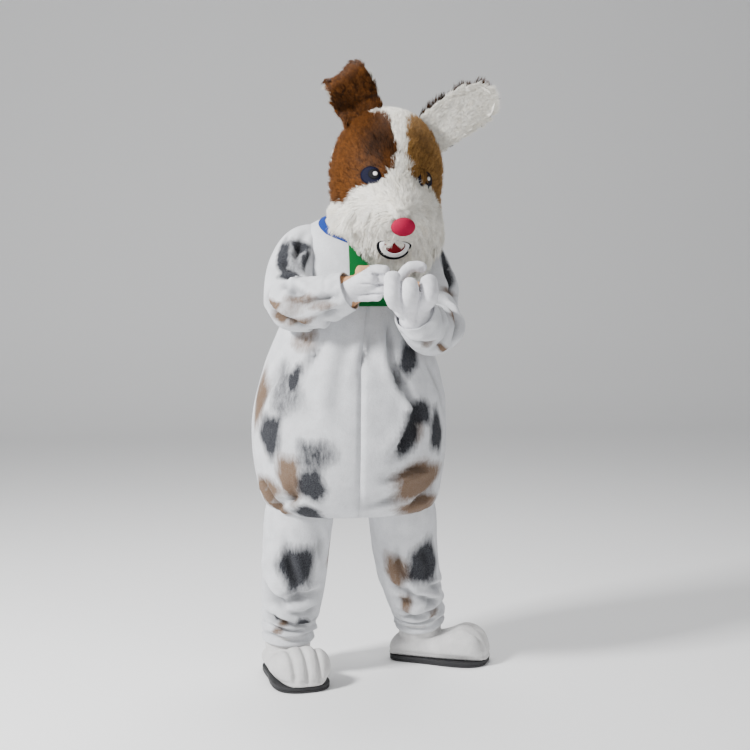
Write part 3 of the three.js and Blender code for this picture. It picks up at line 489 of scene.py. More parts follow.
def mixed(look, factor, a, b):
    """Colour a where the factor is 0, colour b where it is 1."""
    a, b = ((*colour, 1) if isinstance(colour, tuple) else colour for colour in (a, b))
    return add_node(look, "Mix", "Result", {"Factor": factor, "A": a, "B": b}, data_type="RGBA")


def times(part, colour):
    return tuple(min(part * value, 1) for value in colour)


def bumped(look, shader, height, strength, distance):
    inputs = {"Strength": strength, "Distance": distance, "Height": height}
    set_input(look, shader, "Normal", add_node(look, "Bump", "Normal", inputs))


plush_looks = {}
SPOT_PAINTS = {"brown": (0.15, 0.092, 0.055), "grey": (0.012, 0.013, 0.018)}


def plush(name, colour, painted=True, pile=1.0):
    """Short-pile plush: brushed nap, soft sheen, airbrushed paint that catches on the pile, and painted
    shade darkening the troughs of the creases.
    """
    if name in plush_looks:
        return plush_looks[name]
    look, shader = new_look(name, 0.92, 0.15)
    set_input(look, shader, "Sheen Weight", 0.04)
    set_input(look, shader, "Sheen Roughness", 0.45)
    nap, mottle = noise(look, 260, 4, 0.7), noise(look, 22, 4, 0.55)
    tint = mixed(look, ranged(look, mottle, 0.35, 0.65, 0, 1), colour, times(0.86, colour))
    tint = mixed(look, ranged(look, nap, 0.3, 0.5, 0.35, 0), tint, times(0.6, colour))
    if painted:
        streaks = noise(look, 80, 4, 0.65, (1.0, 1.0, 0.3))
        for title, paint in SPOT_PAINTS.items():
            spot = marked(look, title)
            broken = combined(look, "ADD", spot, ranged(look, streaks, 0.3, 0.7, -0.17, 0.17))
            within = ranged(look, spot, 0, 0.2, 0, 1)
            cover = combined(look, "MULTIPLY", ranged(look, broken, 0, 0.85, 0, 1), within)
            cover = combined(look, "MULTIPLY", cover, ranged(look, nap, 0.3, 0.62, 1, 0.93))
            tint = mixed(look, cover, tint, paint)
        # Painted shade: the colour is darkened along the troughs of the creases, where the folds lie in
        # shadow.
        value = ranged(look, marked(look, "painted_crease_shade"), 0, 1, 1, 0.4)
        tint = add_node(look, "HueSaturation", "Color", {"Value": value, "Color": tint})
    set_input(look, shader, "Base Color", tint)
    fine = combined(look, "MULTIPLY", nap, 0.5)
    coarse = combined(look, "MULTIPLY", noise(look, 90, 3, 0.55), 0.5)
    bumped(look, shader, combined(look, "ADD", fine, coarse), 0.6, 0.004 * pile)
    plush_looks[name] = look
    return look


WHITE = (0.72, 0.73, 0.755)
PANEL_CUTS = {                  # what shows of each: width, length and area, in metres
    "suit_back_left": (0.44, 1.30, 0.398),
    "suit_front_left": (0.475, 1.29, 0.412),
    "suit_front_right": (0.515, 1.26, 0.402),
    "suit_back_right": (0.44, 1.265, 0.393),
}
PANEL_TURNS = {"suit_back_left": -180, "suit_front_left": -90, "suit_front_right": 0, "suit_back_right": 90}
HEM_GATHER, HEM_Z, HEM_WIDE = 2.2, 566, 34      # small gathers where the legs are set in
SET_IN = 14                     # how far the panels go under the head of a sleeve
for name, first_turn in PANEL_TURNS.items():
    turn = np.linspace(first_turn, first_turn + 90, PANEL_COLUMNS + 1)[None, :]
    share = np.linspace(share_at(np.array(NECK_OPEN)), 1, PANEL_ROWS)[:, None]
    turn, share = np.broadcast_arrays(turn, share)
    points = body_point(turn, share)
    across, z = turn * MM_PER_DEGREE, points[..., 2]
    row = between(BODY, share)
    outwards = points - np.stack([row[..., 1], row[..., 2], z], axis=-1)
    far = np.linalg.norm(outwards, axis=-1, keepdims=True)
    from_seam = np.minimum(turn - first_turn, first_turn + 90 - turn) * MM_PER_DEGREE
    pull = SEAM_DEEP * nearness(from_seam, SEAM_WIDE)
    pull = pull + HEM_GATHER * np.sin(turn * 0.55 + 0.02 * z) * nearness(z - HEM_Z, HEM_WIDE)
    points = points - outwards / np.maximum(far, 1) * pull[..., None]
    centre = (points[:-1, :-1] + points[1:, 1:]) / 2
    keep = ~(inside_sleeve(centre, "left", SET_IN) | inside_sleeve(centre, "right", SET_IN))
    spots = spots_in_mm(BODY_SPOTS, MM_PER_DEGREE)
    paint = {tone: sprayed(across, z, spots, tone) for tone in SPOT_PAINTS}
    folds = pressed(across, z, creases_in_mm(BODY_CREASES, MM_PER_DEGREE))
    # Painted shade: how dark the troughs of the body's creases are painted.
    paint["painted_crease_shade"] = np.clip(-folds / 13, 0, TROUGH_MOST)
    panel = sewn_grid(name + "_cloth", points, keep=keep, paint=paint)
    dress(panel, plush("white_plush", WHITE), "white_plush", name)
    wide, long, cut = PANEL_CUTS[name]


# Sleeves: one tube of the same plush each, set into the armholes and pushed up into folds at
# the elbow; a wide hem at the cuff is turned in and stitched.
SLEEVE_SPOTS = {                # tone, turn, mm down, half across, half down, tilt, strength
    "left": [
        ("grey", 296, 160, 20, 58, -10, 1.0),
        ("grey", 324, 108, 32, 17, 0, 0.95),
        ("grey", 346, 150, 11, 42, 0, 0.85),
        ("grey", 316, 228, 30, 30, 0, 1.0),
        ("grey", 320, 165, 34, 60, 0, 0.5),
        ("brown", 244, 296, 14, 20, 10, 0.95),
        ("brown", 220, 308, 18, 20, -30, 0.95),
        ("brown", 206, 350, 14, 38, 0, 0.8),
        ("brown", 228, 424, 14, 34, 20, 0.6),
        ("brown", 254, 374, 16, 44, 12, 0.7),
        ("brown", 238, 345, 26, 36, 0, 0.4),
        ("grey", 100, 160, 40, 60, 0, 0.85),
        ("brown", 60, 330, 44, 40, 0, 0.7),
    ],
    "right": [
        ("grey", 74, 110, 16, 36, 0, 1.0),
        ("grey", 76, 160, 14, 30, 0, 1.0),
        ("brown", 66, 198, 34, 10, 0, 0.7),
        ("brown", 78, 330, 26, 16, 30, 1.0),
        ("brown", 158, 369, 10, 18, 0, 1.0),
        ("brown", 176, 420, 26, 12, 0, 0.5),
        ("grey", 180, 130, 40, 50, 0, 0.85),
        ("brown", 220, 300, 40, 40, 0, 0.7),
    ],
}
SLEEVE_LENGTH = 500
SLEEVE_ROUND = 1.4              # mm for each degree round it
SLEEVE_CREASES = {              # from turn, mm down to turn, mm down, with width and depth
    "left": [
        (226, 302, 182, 367, 12, -11),
        (248, 372, 236, 470, 11, -9),
        (204, 399, 200, 470, 11, -8),
        (294, 296, 264, 397, 14, -10),
        (316, 78, 332, 166, 13, -9),
        (256, 259, 214, 312, 12, -10),
        (20, 300, 95, 330, 13, -8),
        (60, 262, 130, 300, 12, -7),
        (-30, 318, 40, 372, 12, -6),
        (95, 372, 160, 352, 12, -6),
        (10, 230, 70, 222, 14, -6),
        (-60, 250, -10, 292, 13, -6),
        (150, 250, 205, 262, 14, -9),
        (-20, 398, 60, 420, 10, -5),
        (110, 418, 190, 404, 10, -5),
        (240, 360, 310, 340, 12, -6),
        (20, 160, 60, 196, 14, -5),
        (300, 170, 330, 214, 14, -5),
    ],
    "right": [
        (28, 241, 66, 309, 12, -10),
        (234, 462, 154, 407, 11, -9),
        (76, 110, 78, 205, 13, -9),
        (60, 300, 130, 346, 13, -9),
        (80, 312, 150, 342, 12, -7),
        (20, 330, 92, 372, 12, -6),
        (140, 262, 210, 250, 13, -8),
        (150, 304, 220, 318, 13, -8),
        (110, 392, 180, 380, 11, -6),
        (30, 408, 100, 424, 10, -5),
        (230, 300, 300, 288, 13, -7),
        (250, 366, 330, 352, 12, -6),
        (60, 190, 110, 224, 14, -6),
        (10, 220, 50, 258, 13, -6),
        (290, 210, 330, 240, 13, -6),
    ],
}
SLEEVE_CUTS = {                 # what shows, all round: width, length and area, in metres
    "left": (0.535, 0.70, 0.228),
    "right": (0.50, 0.705, 0.219),
}
SLEEVE_CREASE_DEPTH = 2.1
CLEARANCE = 4
LIES_ON_BODY = 0.34             # the share of the sleeve's length from which it lies on the body
SEWN_UNDER = 0.93               # cloth deeper in the body than this share isn't there
CUFF_HEM = 448                  # the hem's stitch line, mm down the sleeve


def round_tube(turns, down, marks, mm_per_degree, kind=None):
    """Creases, or paint of one kind, laid round a tube so that they join up behind."""
    total = 0
    for lap in (-360, 0, 360):
        across = (turns + lap) * mm_per_degree
        if kind is None:
            total = total + pressed(across, down, creases_in_mm(marks, mm_per_degree))
        else:
            spots = spots_in_mm(marks, mm_per_degree)
            total = np.maximum(total, sprayed(across, down, spots, kind))
    return total


def tube_paint(turn, down, spots, creases, mm_per_degree):
    """The spots of both tones, and the shade in the creases, all round a tube."""
    paint = {tone: round_tube(turn, down, spots, mm_per_degree, tone) for tone in SPOT_PAINTS}
    folds = round_tube(turn, down, creases, mm_per_degree)
    # Painted shade: how dark the troughs of the creases round the tube are painted.
    paint["painted_crease_shade"] = np.clip(-folds / 10, 0, TROUGH_MOST)
    return paint


for side in ("left", "right"):
    def sleeve_swell(turns, t, side=side):
        down = t * SLEEVE_LENGTH
        folds = round_tube(turns, np.full_like(turns, down), SLEEVE_CREASES[side], SLEEVE_ROUND)
        swell = SLEEVE_CREASE_DEPTH * folds
        swell = swell - 3.5 * nearness(down - CUFF_HEM, 5)
        gathers = np.sin(np.radians(turns * 9 + 40 * np.sin(down / 9)))
        return swell + 1.6 * gathers * nearness(down - CUFF_HEM - 22, 26)

    points, turns, t = tube(SLEEVES[side], SLEEVE_ROWS, SLEEVE_SIDES, SLEEVE_FACING, sleeve_swell)
    lies_on = t > LIES_ON_BODY
    points[lies_on] = clear_of_body(points[lies_on], CLEARANCE)
    turn, down = np.broadcast_arrays(turns[None, :], (t * SLEEVE_LENGTH)[:, None])
    keep = body_size((points[:-1] + points[1:]) / 2) > SEWN_UNDER
    paint = tube_paint(turn, down, SLEEVE_SPOTS[side], SLEEVE_CREASES[side], SLEEVE_ROUND)
    sleeve = sewn_grid(f"sleeve_{side}_cloth", points, closed=True, keep=keep, paint=paint)
    dress(sleeve, plush("white_plush", WHITE), "white_plush", f"sleeve_{side}")
    wide, long, cut = SLEEVE_CUTS[side]


# Legs: a front and a back half each, sewn down the sides. They hang straight to the knee and
# stack into wrinkles over the boots.
LEG_SIDES = 88
LEG_ROWS = 76
LEG_LENGTH = 500
LEG_ROUND = 1.75                # mm for each degree round it
LEG_CREASE_DEPTH = 2.3
ANKLE_STITCH = 484              # mm down the leg
LEGS = {
    "left": np.array([
        [-150, 6, 600, 104, 118],
        [-170, 6, 530, 112, 122],
        [-180, 10, 430, 109, 118],
        [-186, 15, 340, 106, 112],
        [-195, 22, 250, 100, 104],
        [-203, 29, 175, 88, 92],
        [-207, 33, 114, 82, 86],
    ]),
    "right": np.array([
        [152, 14, 600, 104, 118],
        [172, 20, 530, 112, 122],
        [184, 42, 430, 109, 118],
        [202, 72, 340, 104, 112],
        [226, 106, 250, 98, 104],
        [248, 137, 180, 86, 92],
        [256, 150, 122, 82, 88],
    ]),
}
LEG_CREASES = {                 # turn 270 is the front, 0 the side towards +X
    "left": [
        (220, 322, 322, 281, 12, -10),
        (208, 382, 314, 402, 10, -10),
        (244, 136, 278, 304, 14, -8),
        (198, 271, 250, 329, 12, -8),
        (300, 110, 322, 196, 14, -6),
        (206, 300, 250, 326, 12, -6),
        (262, 352, 322, 338, 10, -7),
        (214, 372, 276, 384, 9, -7),
        (288, 396, 345, 378, 9, -7),
        (222, 414, 300, 426, 8, -7),
        (300, 446, 350, 436, 8, -6),
        (210, 446, 268, 456, 8, -6),
        (60, 120, 84, 240, 16, -6),
        (120, 330, 60, 350, 12, -7),
        (70, 384, 140, 398, 10, -7),
        (30, 424, 110, 434, 9, -6),
        (170, 200, 186, 300, 15, -5),
        (10, 260, 24, 350, 14, -5),
    ],
    "right": [
        (224, 259, 322, 364, 12, -11),
        (226, 352, 320, 389, 10, -10),
        (286, 286, 348, 319, 11, -8),
        (244, 138, 254, 304, 14, -7),
        (292, 150, 300, 250, 14, -6),
        (220, 300, 270, 330, 12, -6),
        (270, 352, 330, 336, 10, -7),
        (224, 376, 282, 390, 9, -7),
        (292, 402, 352, 386, 9, -7),
        (230, 420, 300, 432, 8, -7),
        (300, 450, 350, 440, 8, -6),
        (216, 452, 270, 462, 8, -6),
        (80, 130, 96, 240, 16, -6),
        (110, 320, 50, 344, 12, -7),
        (60, 380, 130, 396, 10, -7),
        (40, 428, 120, 436, 9, -6),
        (160, 190, 180, 300, 15, -5),
    ],
}
LEG_SPOTS = {
    "left": [
        ("grey", 266, 210, 54, 62, 4, 1.0),
        ("brown", 250, 392, 18, 14, 0, 0.8),
        ("brown", 240, 430, 18, 10, 0, 0.8),
        ("grey", 236, 376, 14, 12, 0, 0.9),
        ("grey", 290, 380, 22, 14, 0, 0.9),
        ("grey", 60, 150, 46, 60, 0, 0.9),
        ("brown", 110, 300, 40, 34, 0, 0.8),
        ("brown", 350, 180, 26, 44, 0, 0.7),
    ],
    "right": [
        ("grey", 292, 205, 52, 60, 0, 1.0),
        ("brown", 240, 210, 40, 44, 0, 0.85),
        ("brown", 244, 318, 20, 28, 10, 0.8),
        ("brown", 300, 400, 26, 16, 0, 0.8),
        ("grey", 90, 180, 46, 56, 0, 0.9),
        ("brown", 130, 320, 40, 34, 0, 0.8),
    ],
}
LEG_CUTS = {                    # what shows of each half: width, length and area, in metres
    ("left", "back"): (0.37, 0.52, 0.158),
    ("left", "front"): (0.385, 0.555, 0.163),
    ("right", "back"): (0.37, 0.535, 0.161),
    ("right", "front"): (0.375, 0.585, 0.175),
}
for side in ("left", "right"):
    def leg_swell(turns, t, side=side):
        down = t * LEG_LENGTH
        folds = round_tube(turns, np.full_like(turns, down), LEG_CREASES[side], LEG_ROUND)
        swell = LEG_CREASE_DEPTH * folds
        swell = swell + risen(t, 0.7, 0.1) * 5.0 * np.sin(down / 7.4 + 1.6 * np.sin(np.radians(turns + 30)))
        swell = swell - 2.6 * nearness(down - ANKLE_STITCH, 4)
        from_seam = np.abs((turns + 90) % 180 - 90) * LEG_ROUND
        return swell - SEAM_DEEP * nearness(from_seam, SEAM_WIDE)

    points, turns, t = tube(LEGS[side], LEG_ROWS, LEG_SIDES, np.array([1.0, 0, 0]), leg_swell)
    turn, down = np.broadcast_arrays(turns[None, :], (t * LEG_LENGTH)[:, None])
    paint = tube_paint(turn, down, LEG_SPOTS[side], LEG_CREASES[side], LEG_ROUND)
    inside = body_size((points[:-1] + points[1:]) / 2) < SEWN_UNDER
    for half, first in (("back", 0), ("front", LEG_SIDES // 2)):
        columns = np.arange(first, first + LEG_SIDES // 2 + 1) % LEG_SIDES
        leg = sewn_grid(
            f"leg_{side}_{half}_cloth",
            points[:, columns],
            keep=~inside[:, columns[:-1]],
            paint={tone: values[:, columns] for tone, values in paint.items()},
        )
        dress(leg, plush("white_plush", WHITE), "white_plush", f"leg_{side}_{half}")
        wide, long, cut = LEG_CUTS[side, half]


# Head: a foam shell covered with long-pile faux fur in seven pieces, white but for the two
# brown eye patches. The fur is longest on the muzzle, cheeks and chin.
HEAD_FORMS = np.array([          # centre x, y, z and half sizes, in the head's own frame
    [0, 28, 50, 172, 172, 206],
    [0, -6, -110, 164, 165, 140],
    [0, -98, -92, 118, 128, 98],
    [0, -92, -178, 96, 98, 74],
])
HEAD_BLEND = 7
HEAD_CENTRE = np.array([0, 0, -20.0])
HEAD_MATRIX = np.array(
    Matrix.Translation((106, -75, 1580))
    @ Matrix.Rotation(np.radians(6), 4, "Z")
    @ Matrix.Rotation(np.radians(4), 4, "Y")
)
PATCH = np.array([               # its outline in x and z, on the front of the head
    [40, 215], [25, 172], [16, 120], [17, 70], [26, 30], [62, 6], [105, -22], [138, -66],
    [200, -30], [230, 60], [215, 175], [150, 214], [90, 224],
])
MUZZLE = np.array([
    [-230, -36], [-138, -74], [-105, -28], [-62, 0], [-22, 24], [22, 24], [62, 0], [105, -28], [138, -74],
    [230, -36], [230, -160], [120, -196], [70, -178], [-70, -178], [-120, -196], [-230, -160],
])
PATCH_BACK = 40                 # y behind which the back pieces begin
SKIN_DEEP = {"crown": 9, "patch": 8, "muzzle": 13, "chin": 13, "back": 9}
EYE_X, EYE_Z, EYE_RADIUS = 88, 28, 28
NOSE_Z, NOSE_HALF, NOSE_UP = -127, 38, 28
MOUTH_X, MOUTH_Z, MOUTH_HALF, MOUTH_UP, MOUTH_DOWN = -16, -180, 53, 12, 46


def head_field(p):
    q = np.linalg.norm((p[..., None, :] - HEAD_FORMS[:, :3]) / HEAD_FORMS[:, 3:], axis=-1)
    return np.exp(-HEAD_BLEND * (q - 1)).sum(axis=-1) - 1


def head_reach(start, direction):
    """Where lines from within the head come out of the fur."""
    low, high = np.zeros(direction.shape[:-1]), np.full(direction.shape[:-1], 420.0)
    for _ in range(26):
        middle = (low + high) / 2
        within = head_field(start + direction * middle[..., None]) > 0
        low, high = np.where(within, middle, low), np.where(within, high, middle)
    return start + direction * low[..., None]


def head_normal(p):
    step = 0.5
    slope = [head_field(p + step * axis) - head_field(p - step * axis) for axis in np.eye(3)]
    return unit(-np.stack(slope, axis=-1))


def within_outline(x, z, outline):
    odd = np.zeros(np.broadcast(x, z).shape, bool)
    for (x0, z0), (x1, z1) in zip(outline, np.roll(outline, -1, axis=0)):
        crosses = (z0 > z) != (z1 > z)
        odd ^= crosses & (x < (x1 - x0) * (z - z0) / (z1 - z0 + 1e-9) + x0)
    return odd


def head_piece(p):
    """Which cut piece a place on the head belongs to."""
    x, y, z = p[..., 0], p[..., 1], p[..., 2]
    left_patch = within_outline(-x, z, PATCH)
    right_patch = within_outline(x, z, PATCH)
    muzzle = within_outline(x, z, MUZZLE)
    piece = np.where(z < -100, "head_chin", "head_crown").astype("<U16")
    piece[muzzle] = "head_muzzle"
    piece[left_patch] = "head_patch_left"
    piece[right_patch] = "head_patch_right"
    piece[(y > PATCH_BACK) & (x < 0)] = "head_back_left"
    piece[(y > PATCH_BACK) & (x >= 0)] = "head_back_right"
    return piece


def on_body(p):
    """From the head's own frame to the standing costume."""
    return p @ HEAD_MATRIX[:3, :3].T + HEAD_MATRIX[:3, 3]


def fur_look(name, root, tip, variety, speckle=0.0):
    """Faux fur: the colour runs from root to tip, and from tuft to tuft."""
    look, shader = new_look(name, 0.62, 0.12)
    set_input(look, shader, "Sheen Weight", 0.02)
    blade = mixed(look, marked(look, "height"), root, tip)
    tint = mixed(look, marked(look, "tuft"), blade, variety)
    value = ranged(look, noise(look, 140, 3), 0.3, 0.7, 0.86 - speckle, 1.08 + speckle)
    tint = add_node(look, "HueSaturation", "Color", {"Value": value, "Color": tint})
    set_input(look, shader, "Base Color", tint)
    return look


def fur_coat(
    name, roots, normals, comb, long, wide, rise, tuft_size, seed, gather, tone=None, segments=2
):
    """Blades of fur in tufts, as one mesh: roots, long and wide in mm, rise the share that stands."""
    random = np.random.default_rng(seed)
    count = len(roots)
    tufts = kdtree.KDTree(max(count // tuft_size, 1))
    chosen = random.choice(count, max(count // tuft_size, 1), replace=False)
    for i, k in enumerate(chosen):
        tufts.insert(roots[k], i)
    tufts.balance()
    member = np.array([tufts.find(p)[1] for p in roots])
    lean = random.normal(0, 0.26, (len(chosen), 3))[member]
    stretch = random.uniform(0.72, 1.2, len(chosen))[member]
    shade = random.beta(1.4, 2.6, len(chosen))[member]
    long = long * stretch * random.uniform(0.8, 1.12, count)
    flow = comb + lean + random.normal(0, 0.16, (count, 3))
    flow -= (flow * normals).sum(-1, keepdims=True) * normals
    flow = unit(flow, 1e-9)
    heart = roots[chosen][member]
    lies = long[:, None] * (normals * rise + flow * np.sqrt(1 - rise**2))
    tip = roots + lies
    tip += gather * (heart + lies - tip)
    knee = roots + long[:, None] * (0.62 * normals * (0.35 + rise) + 0.3 * flow)
    half = unit(np.cross(flow, normals) + random.normal(0, 0.35, (count, 3))) * wide / 2
    rows, heights = [], []
    for s in np.linspace(0, 1, segments + 1)[:-1]:
        at = (1 - s) ** 2 * roots + 2 * s * (1 - s) * knee + s * s * tip
        taper = 1 - 0.45 * s
        rows += [at - half * taper, at + half * taper]
        heights += [s, s]
    rows.append(tip)
    heights.append(1.0)
    each = len(rows)
    points = placed(on_body(np.stack(rows, axis=1).reshape(-1, 3)))
    faces = []
    for k in range(segments - 1):
        a = 2 * k
        faces += [(a, a + 1, a + 3), (a, a + 3, a + 2)]
    faces.append((each - 3, each - 2, each - 1))
    faces = (np.array(faces)[None] + each * np.arange(count)[:, None, None]).reshape(-1, 3)
    mesh = bpy.data.meshes.new(name)
    mesh.vertices.add(len(points))
    mesh.vertices.foreach_set("co", points.astype(np.float32).reshape(-1))
    mesh.loops.add(faces.size)
    mesh.loops.foreach_set("vertex_index", faces.astype(np.int32).reshape(-1))
    mesh.polygons.add(len(faces))
    mesh.polygons.foreach_set("loop_start", np.arange(0, faces.size, 3, dtype=np.int32))
    mesh.update(calc_edges=True)
    mesh.polygons.foreach_set("use_smooth", np.ones(len(faces), dtype=bool))
    if tone is not None:
        shade = np.clip(tone + 0.5 * (shade - 0.35), 0, 1)
    for title, values in (("height", np.tile(heights, count)), ("tuft", np.repeat(shade, each))):
        layer = mesh.attributes.new(title, "FLOAT", "POINT")
        layer.data.foreach_set("value", values.astype(np.float32))
    facing = normals + 0.35 * (tip - roots) / long[:, None] + random.normal(0, 0.12, (count, 3))
    facing = unit(facing) @ HEAD_MATRIX[:3, :3].T
    mesh.normals_split_custom_set_from_vertices(np.repeat(facing, each, axis=0).tolist())
    return put_up(name, mesh)


def scattered(corners, count, seed):
    """Even random places on quads or triangles given by their corners, fan by fan."""
    random = np.random.default_rng(seed)
    a, b, c = corners[:, 0], corners[:, 1], corners[:, 2]
    area = np.linalg.norm(np.cross(b - a, c - a), axis=-1)
    face = random.choice(len(corners), count, p=area / area.sum())
    u, v = random.random(count), random.random(count)
    over = u + v > 1
    u[over], v[over] = 1 - u[over], 1 - v[over]
    return a[face] + u[:, None] * (b - a)[face] + v[:, None] * (c - a)[face]


SKIN_RINGS, SKIN_SIDES = 84, 128
down = np.linspace(0.02, np.pi - 0.02, SKIN_RINGS)[:, None]
around = np.linspace(-np.pi, np.pi, SKIN_SIDES, endpoint=False)[None, :]
direction = np.stack(np.broadcast_arrays(
    np.sin(down) * np.sin(around),
    -np.sin(down) * np.cos(around),
    np.cos(down),
), axis=-1)
fur_ends = head_reach(HEAD_CENTRE, direction)
out = head_normal(fur_ends)
middle = (fur_ends[:-1] + fur_ends[1:]) / 2
middle = (middle + np.roll(middle, -1, axis=1)) / 2
piece_of = head_piece(middle)
standing = on_body(middle)
clear = body_size(standing) > 1.02
clear &= ~inside_sleeve(standing, "left", 0) & ~inside_sleeve(standing, "right", 0)
clear &= ~((standing[..., 2] < 1440) & (body_size(standing) < 1.12))

WHITE_FUR = fur_look("white_fur", (0.90, 0.87, 0.79), (0.99, 0.97, 0.90), (0.92, 0.87, 0.76))
BROWN_FUR = fur_look("chestnut_fur", (0.03, 0.010, 0.002), (0.15, 0.050, 0.008), (0.022, 0.007, 0.001), 0.25)
TAN_FUR = fur_look("tan_fur", (0.09, 0.042, 0.010), (0.48, 0.25, 0.07), (0.10, 0.045, 0.010), 0.25)
PATCH_FURS = {"head_patch_left": (BROWN_FUR, "brown_fur"), "head_patch_right": (TAN_FUR, "tan_fur")}
HEAD_COATS = {                  # blades, mm long, mm wide, rise from the skin, blades in a tuft
    "head_crown": (21000, 26, 1.4, 0.42, 26),
    "head_back_left": (13500, 28, 1.9, 0.45, 26),
    "head_back_right": (13500, 28, 1.9, 0.45, 26),
    "head_patch_left": (18000, 30, 1.5, 0.42, 34),
    "head_patch_right": (18000, 30, 1.5, 0.42, 18),
    "head_muzzle": (29500, 46, 1.7, 0.36, 60),
    "head_chin": (12000, 52, 2.2, 0.36, 44),
}
SKIN_CUTS = {                   # the cut of each piece of fur cloth: width, length and area, in metres
    "head_crown": (0.29, 0.285, 0.0330),
    "head_back_left": (0.245, 0.405, 0.0735),
    "head_back_right": (0.245, 0.41, 0.0765),
    "head_patch_left": (0.26, 0.30, 0.0620),
    "head_patch_right": (0.26, 0.30, 0.0620),
    "head_muzzle": (0.655, 0.235, 0.0850),
    "head_chin": (0.31, 0.12, 0.0215),
}
head_skins, head_furs = {}, {}
for n, (name, (blades, long, wide, rise, tuft_size)) in enumerate(HEAD_COATS.items()):
    kind = name.split("_")[1]
    furry, fur_slot = PATCH_FURS.get(name, (WHITE_FUR, "white_fur"))
    mine = (piece_of == name) & clear
    deep = SKIN_DEEP[kind]
    skin = sewn_grid(f"{name}_backing", on_body(fur_ends - out * deep), closed=True, keep=mine, wall=4)
    dress(skin, furry, fur_slot, name)

    beside = np.roll(fur_ends, -1, axis=1)
    upper = np.stack([fur_ends[:-1], fur_ends[1:], beside[1:]], axis=-2)[mine]
    lower = np.stack([fur_ends[:-1], beside[1:], beside[:-1]], axis=-2)[mine]
    roots = scattered(np.concatenate([upper, lower]), blades, 11 + n)
    normals = head_normal(roots)
    x, y, z = roots.T
    from_nose = roots - np.array([0, -215, -108])
    spread = np.linalg.norm(from_nose, axis=-1)
    comb = from_nose / spread[:, None]
    comb[:, 2] -= np.clip((-20 - z) / 90, 0, 1.3)
    comb[:, 1] += 0.4
    front = y < 0

    # The fur is short round the nose and eyes, is trimmed under the mouth and at the left of the
    # chin, and grows long over the mouth and at the head's lower edge
    length = np.full(blades, float(long)) * np.clip(0.35 + spread / 150, 0.5, 1.25)
    eye = np.minimum(np.hypot(x - EYE_X, z - EYE_Z), np.hypot(x + EYE_X, z - EYE_Z))
    length *= np.where(front, np.clip(0.3 + (eye - EYE_RADIUS) / 45, 0.3, 1), 1)
    nose = np.hypot(x / NOSE_HALF, (z - NOSE_Z) / NOSE_UP)
    mouth_tall = np.where(z > MOUTH_Z, MOUTH_UP, MOUTH_DOWN)
    mouth = np.hypot((x - MOUTH_X) / MOUTH_HALF, (z - MOUTH_Z) / mouth_tall)
    length *= np.where(front, np.clip(0.25 + (nose - 1) / 1.1, 0.25, 1), 1)
    length *= 1 + 0.5 * risen(-on_body(roots)[:, 2], -1500, 60)
    if kind in ("muzzle", "chin"):
        length *= 1 - 0.72 * risen(-x, 30, 40) * risen(-z, 110, 40)
    over_mouth = front & (mouth < 1.9) & (z > MOUTH_Z)
    comb[over_mouth, 2] -= 1.6
    below_mouth = front & (mouth < 1.5) & (z <= MOUTH_Z)
    length *= np.where(below_mouth, 0.5, 1)
    stay = ~(front & ((eye < EYE_RADIUS + 1) | (nose < 1.0) | (mouth < 1.02)))
    tone = None
    if kind == "patch":
        side = -1 if name.endswith("left") else 1
        dark = nearness(x - side * 62, 46) * nearness(z - 118, 62)
        edge = nearness(x - side * 128, 34) * nearness(z - 60, 90)
        tone = np.clip(0.15 + (0.85 if side < 0 else 0.45) * dark - 0.3 * edge, 0, 1)[stay]
    if kind == "back":
        length *= 1 + 0.5 * risen(-z, 60, 60)
    sunk = (roots - normals * deep)[stay]
    segments = 3 if kind in ("muzzle", "chin") else 2
    coat = fur_coat(
        f"{name}_fur", sunk, normals[stay], comb[stay], length[stay],
        wide, rise, tuft_size, 31 + n, 0.38, tone, segments,
    )
    dress(coat, furry, fur_slot)
    head_skins[name], head_furs[name] = skin, [coat]

# Long tufts that hang over the mouth's top, the right eye and the collar's left end
FRINGES = {                     # from x, to x, from z, to z, comb x and z, mm long, blades, sewn to
    "mouth_fringe_fur": (-72, 40, -170, -146, 0.0, -1.0, 22.5, 2800, "head_muzzle"),
    "eye_fringe_fur": (60, 84, 34, 66, 0.55, -0.8, 30, 700, "head_patch_right"),
    "cheek_fringe_fur": (70, 116, -16, -2, 0.2, 0.9, 26, 700, "head_muzzle"),
    "neck_fringe_fur": (-160, -104, -112, -66, -0.45, -1.0, 64, 1800, "head_muzzle"),
}
for n, (name, fringe_row) in enumerate(FRINGES.items()):
    x0, x1, z0, z1, comb_x, comb_z, long, blades, sewn_to = fringe_row
    random = np.random.default_rng(141 + n)
    x = random.uniform(x0, x1, blades)
    z = random.uniform(z0, z1, blades)
    start = np.column_stack([x, np.zeros(blades), z])
    roots = head_reach(start, np.tile([0, -1.0, 0], (blades, 1)))
    normals = head_normal(roots)
    from_middle = np.abs((x - (x0 + x1) / 2) / (x1 - x0) * 2)
    comb = np.tile([comb_x, -0.25, comb_z], (blades, 1))
    fringe = fur_coat(
        name, roots - normals * 3, normals, comb, long * (1.2 - 0.45 * from_middle),
        1.2, 0.2, 130, 151 + n, 0.75, segments=3,
    )
    dress(fringe, *PATCH_FURS.get(sewn_to, (WHITE_FUR, "white_fur")))
    head_furs[sewn_to].append(fringe)
for name, skin in head_skins.items():
    wide, long, cut = SKIN_CUTS[name]


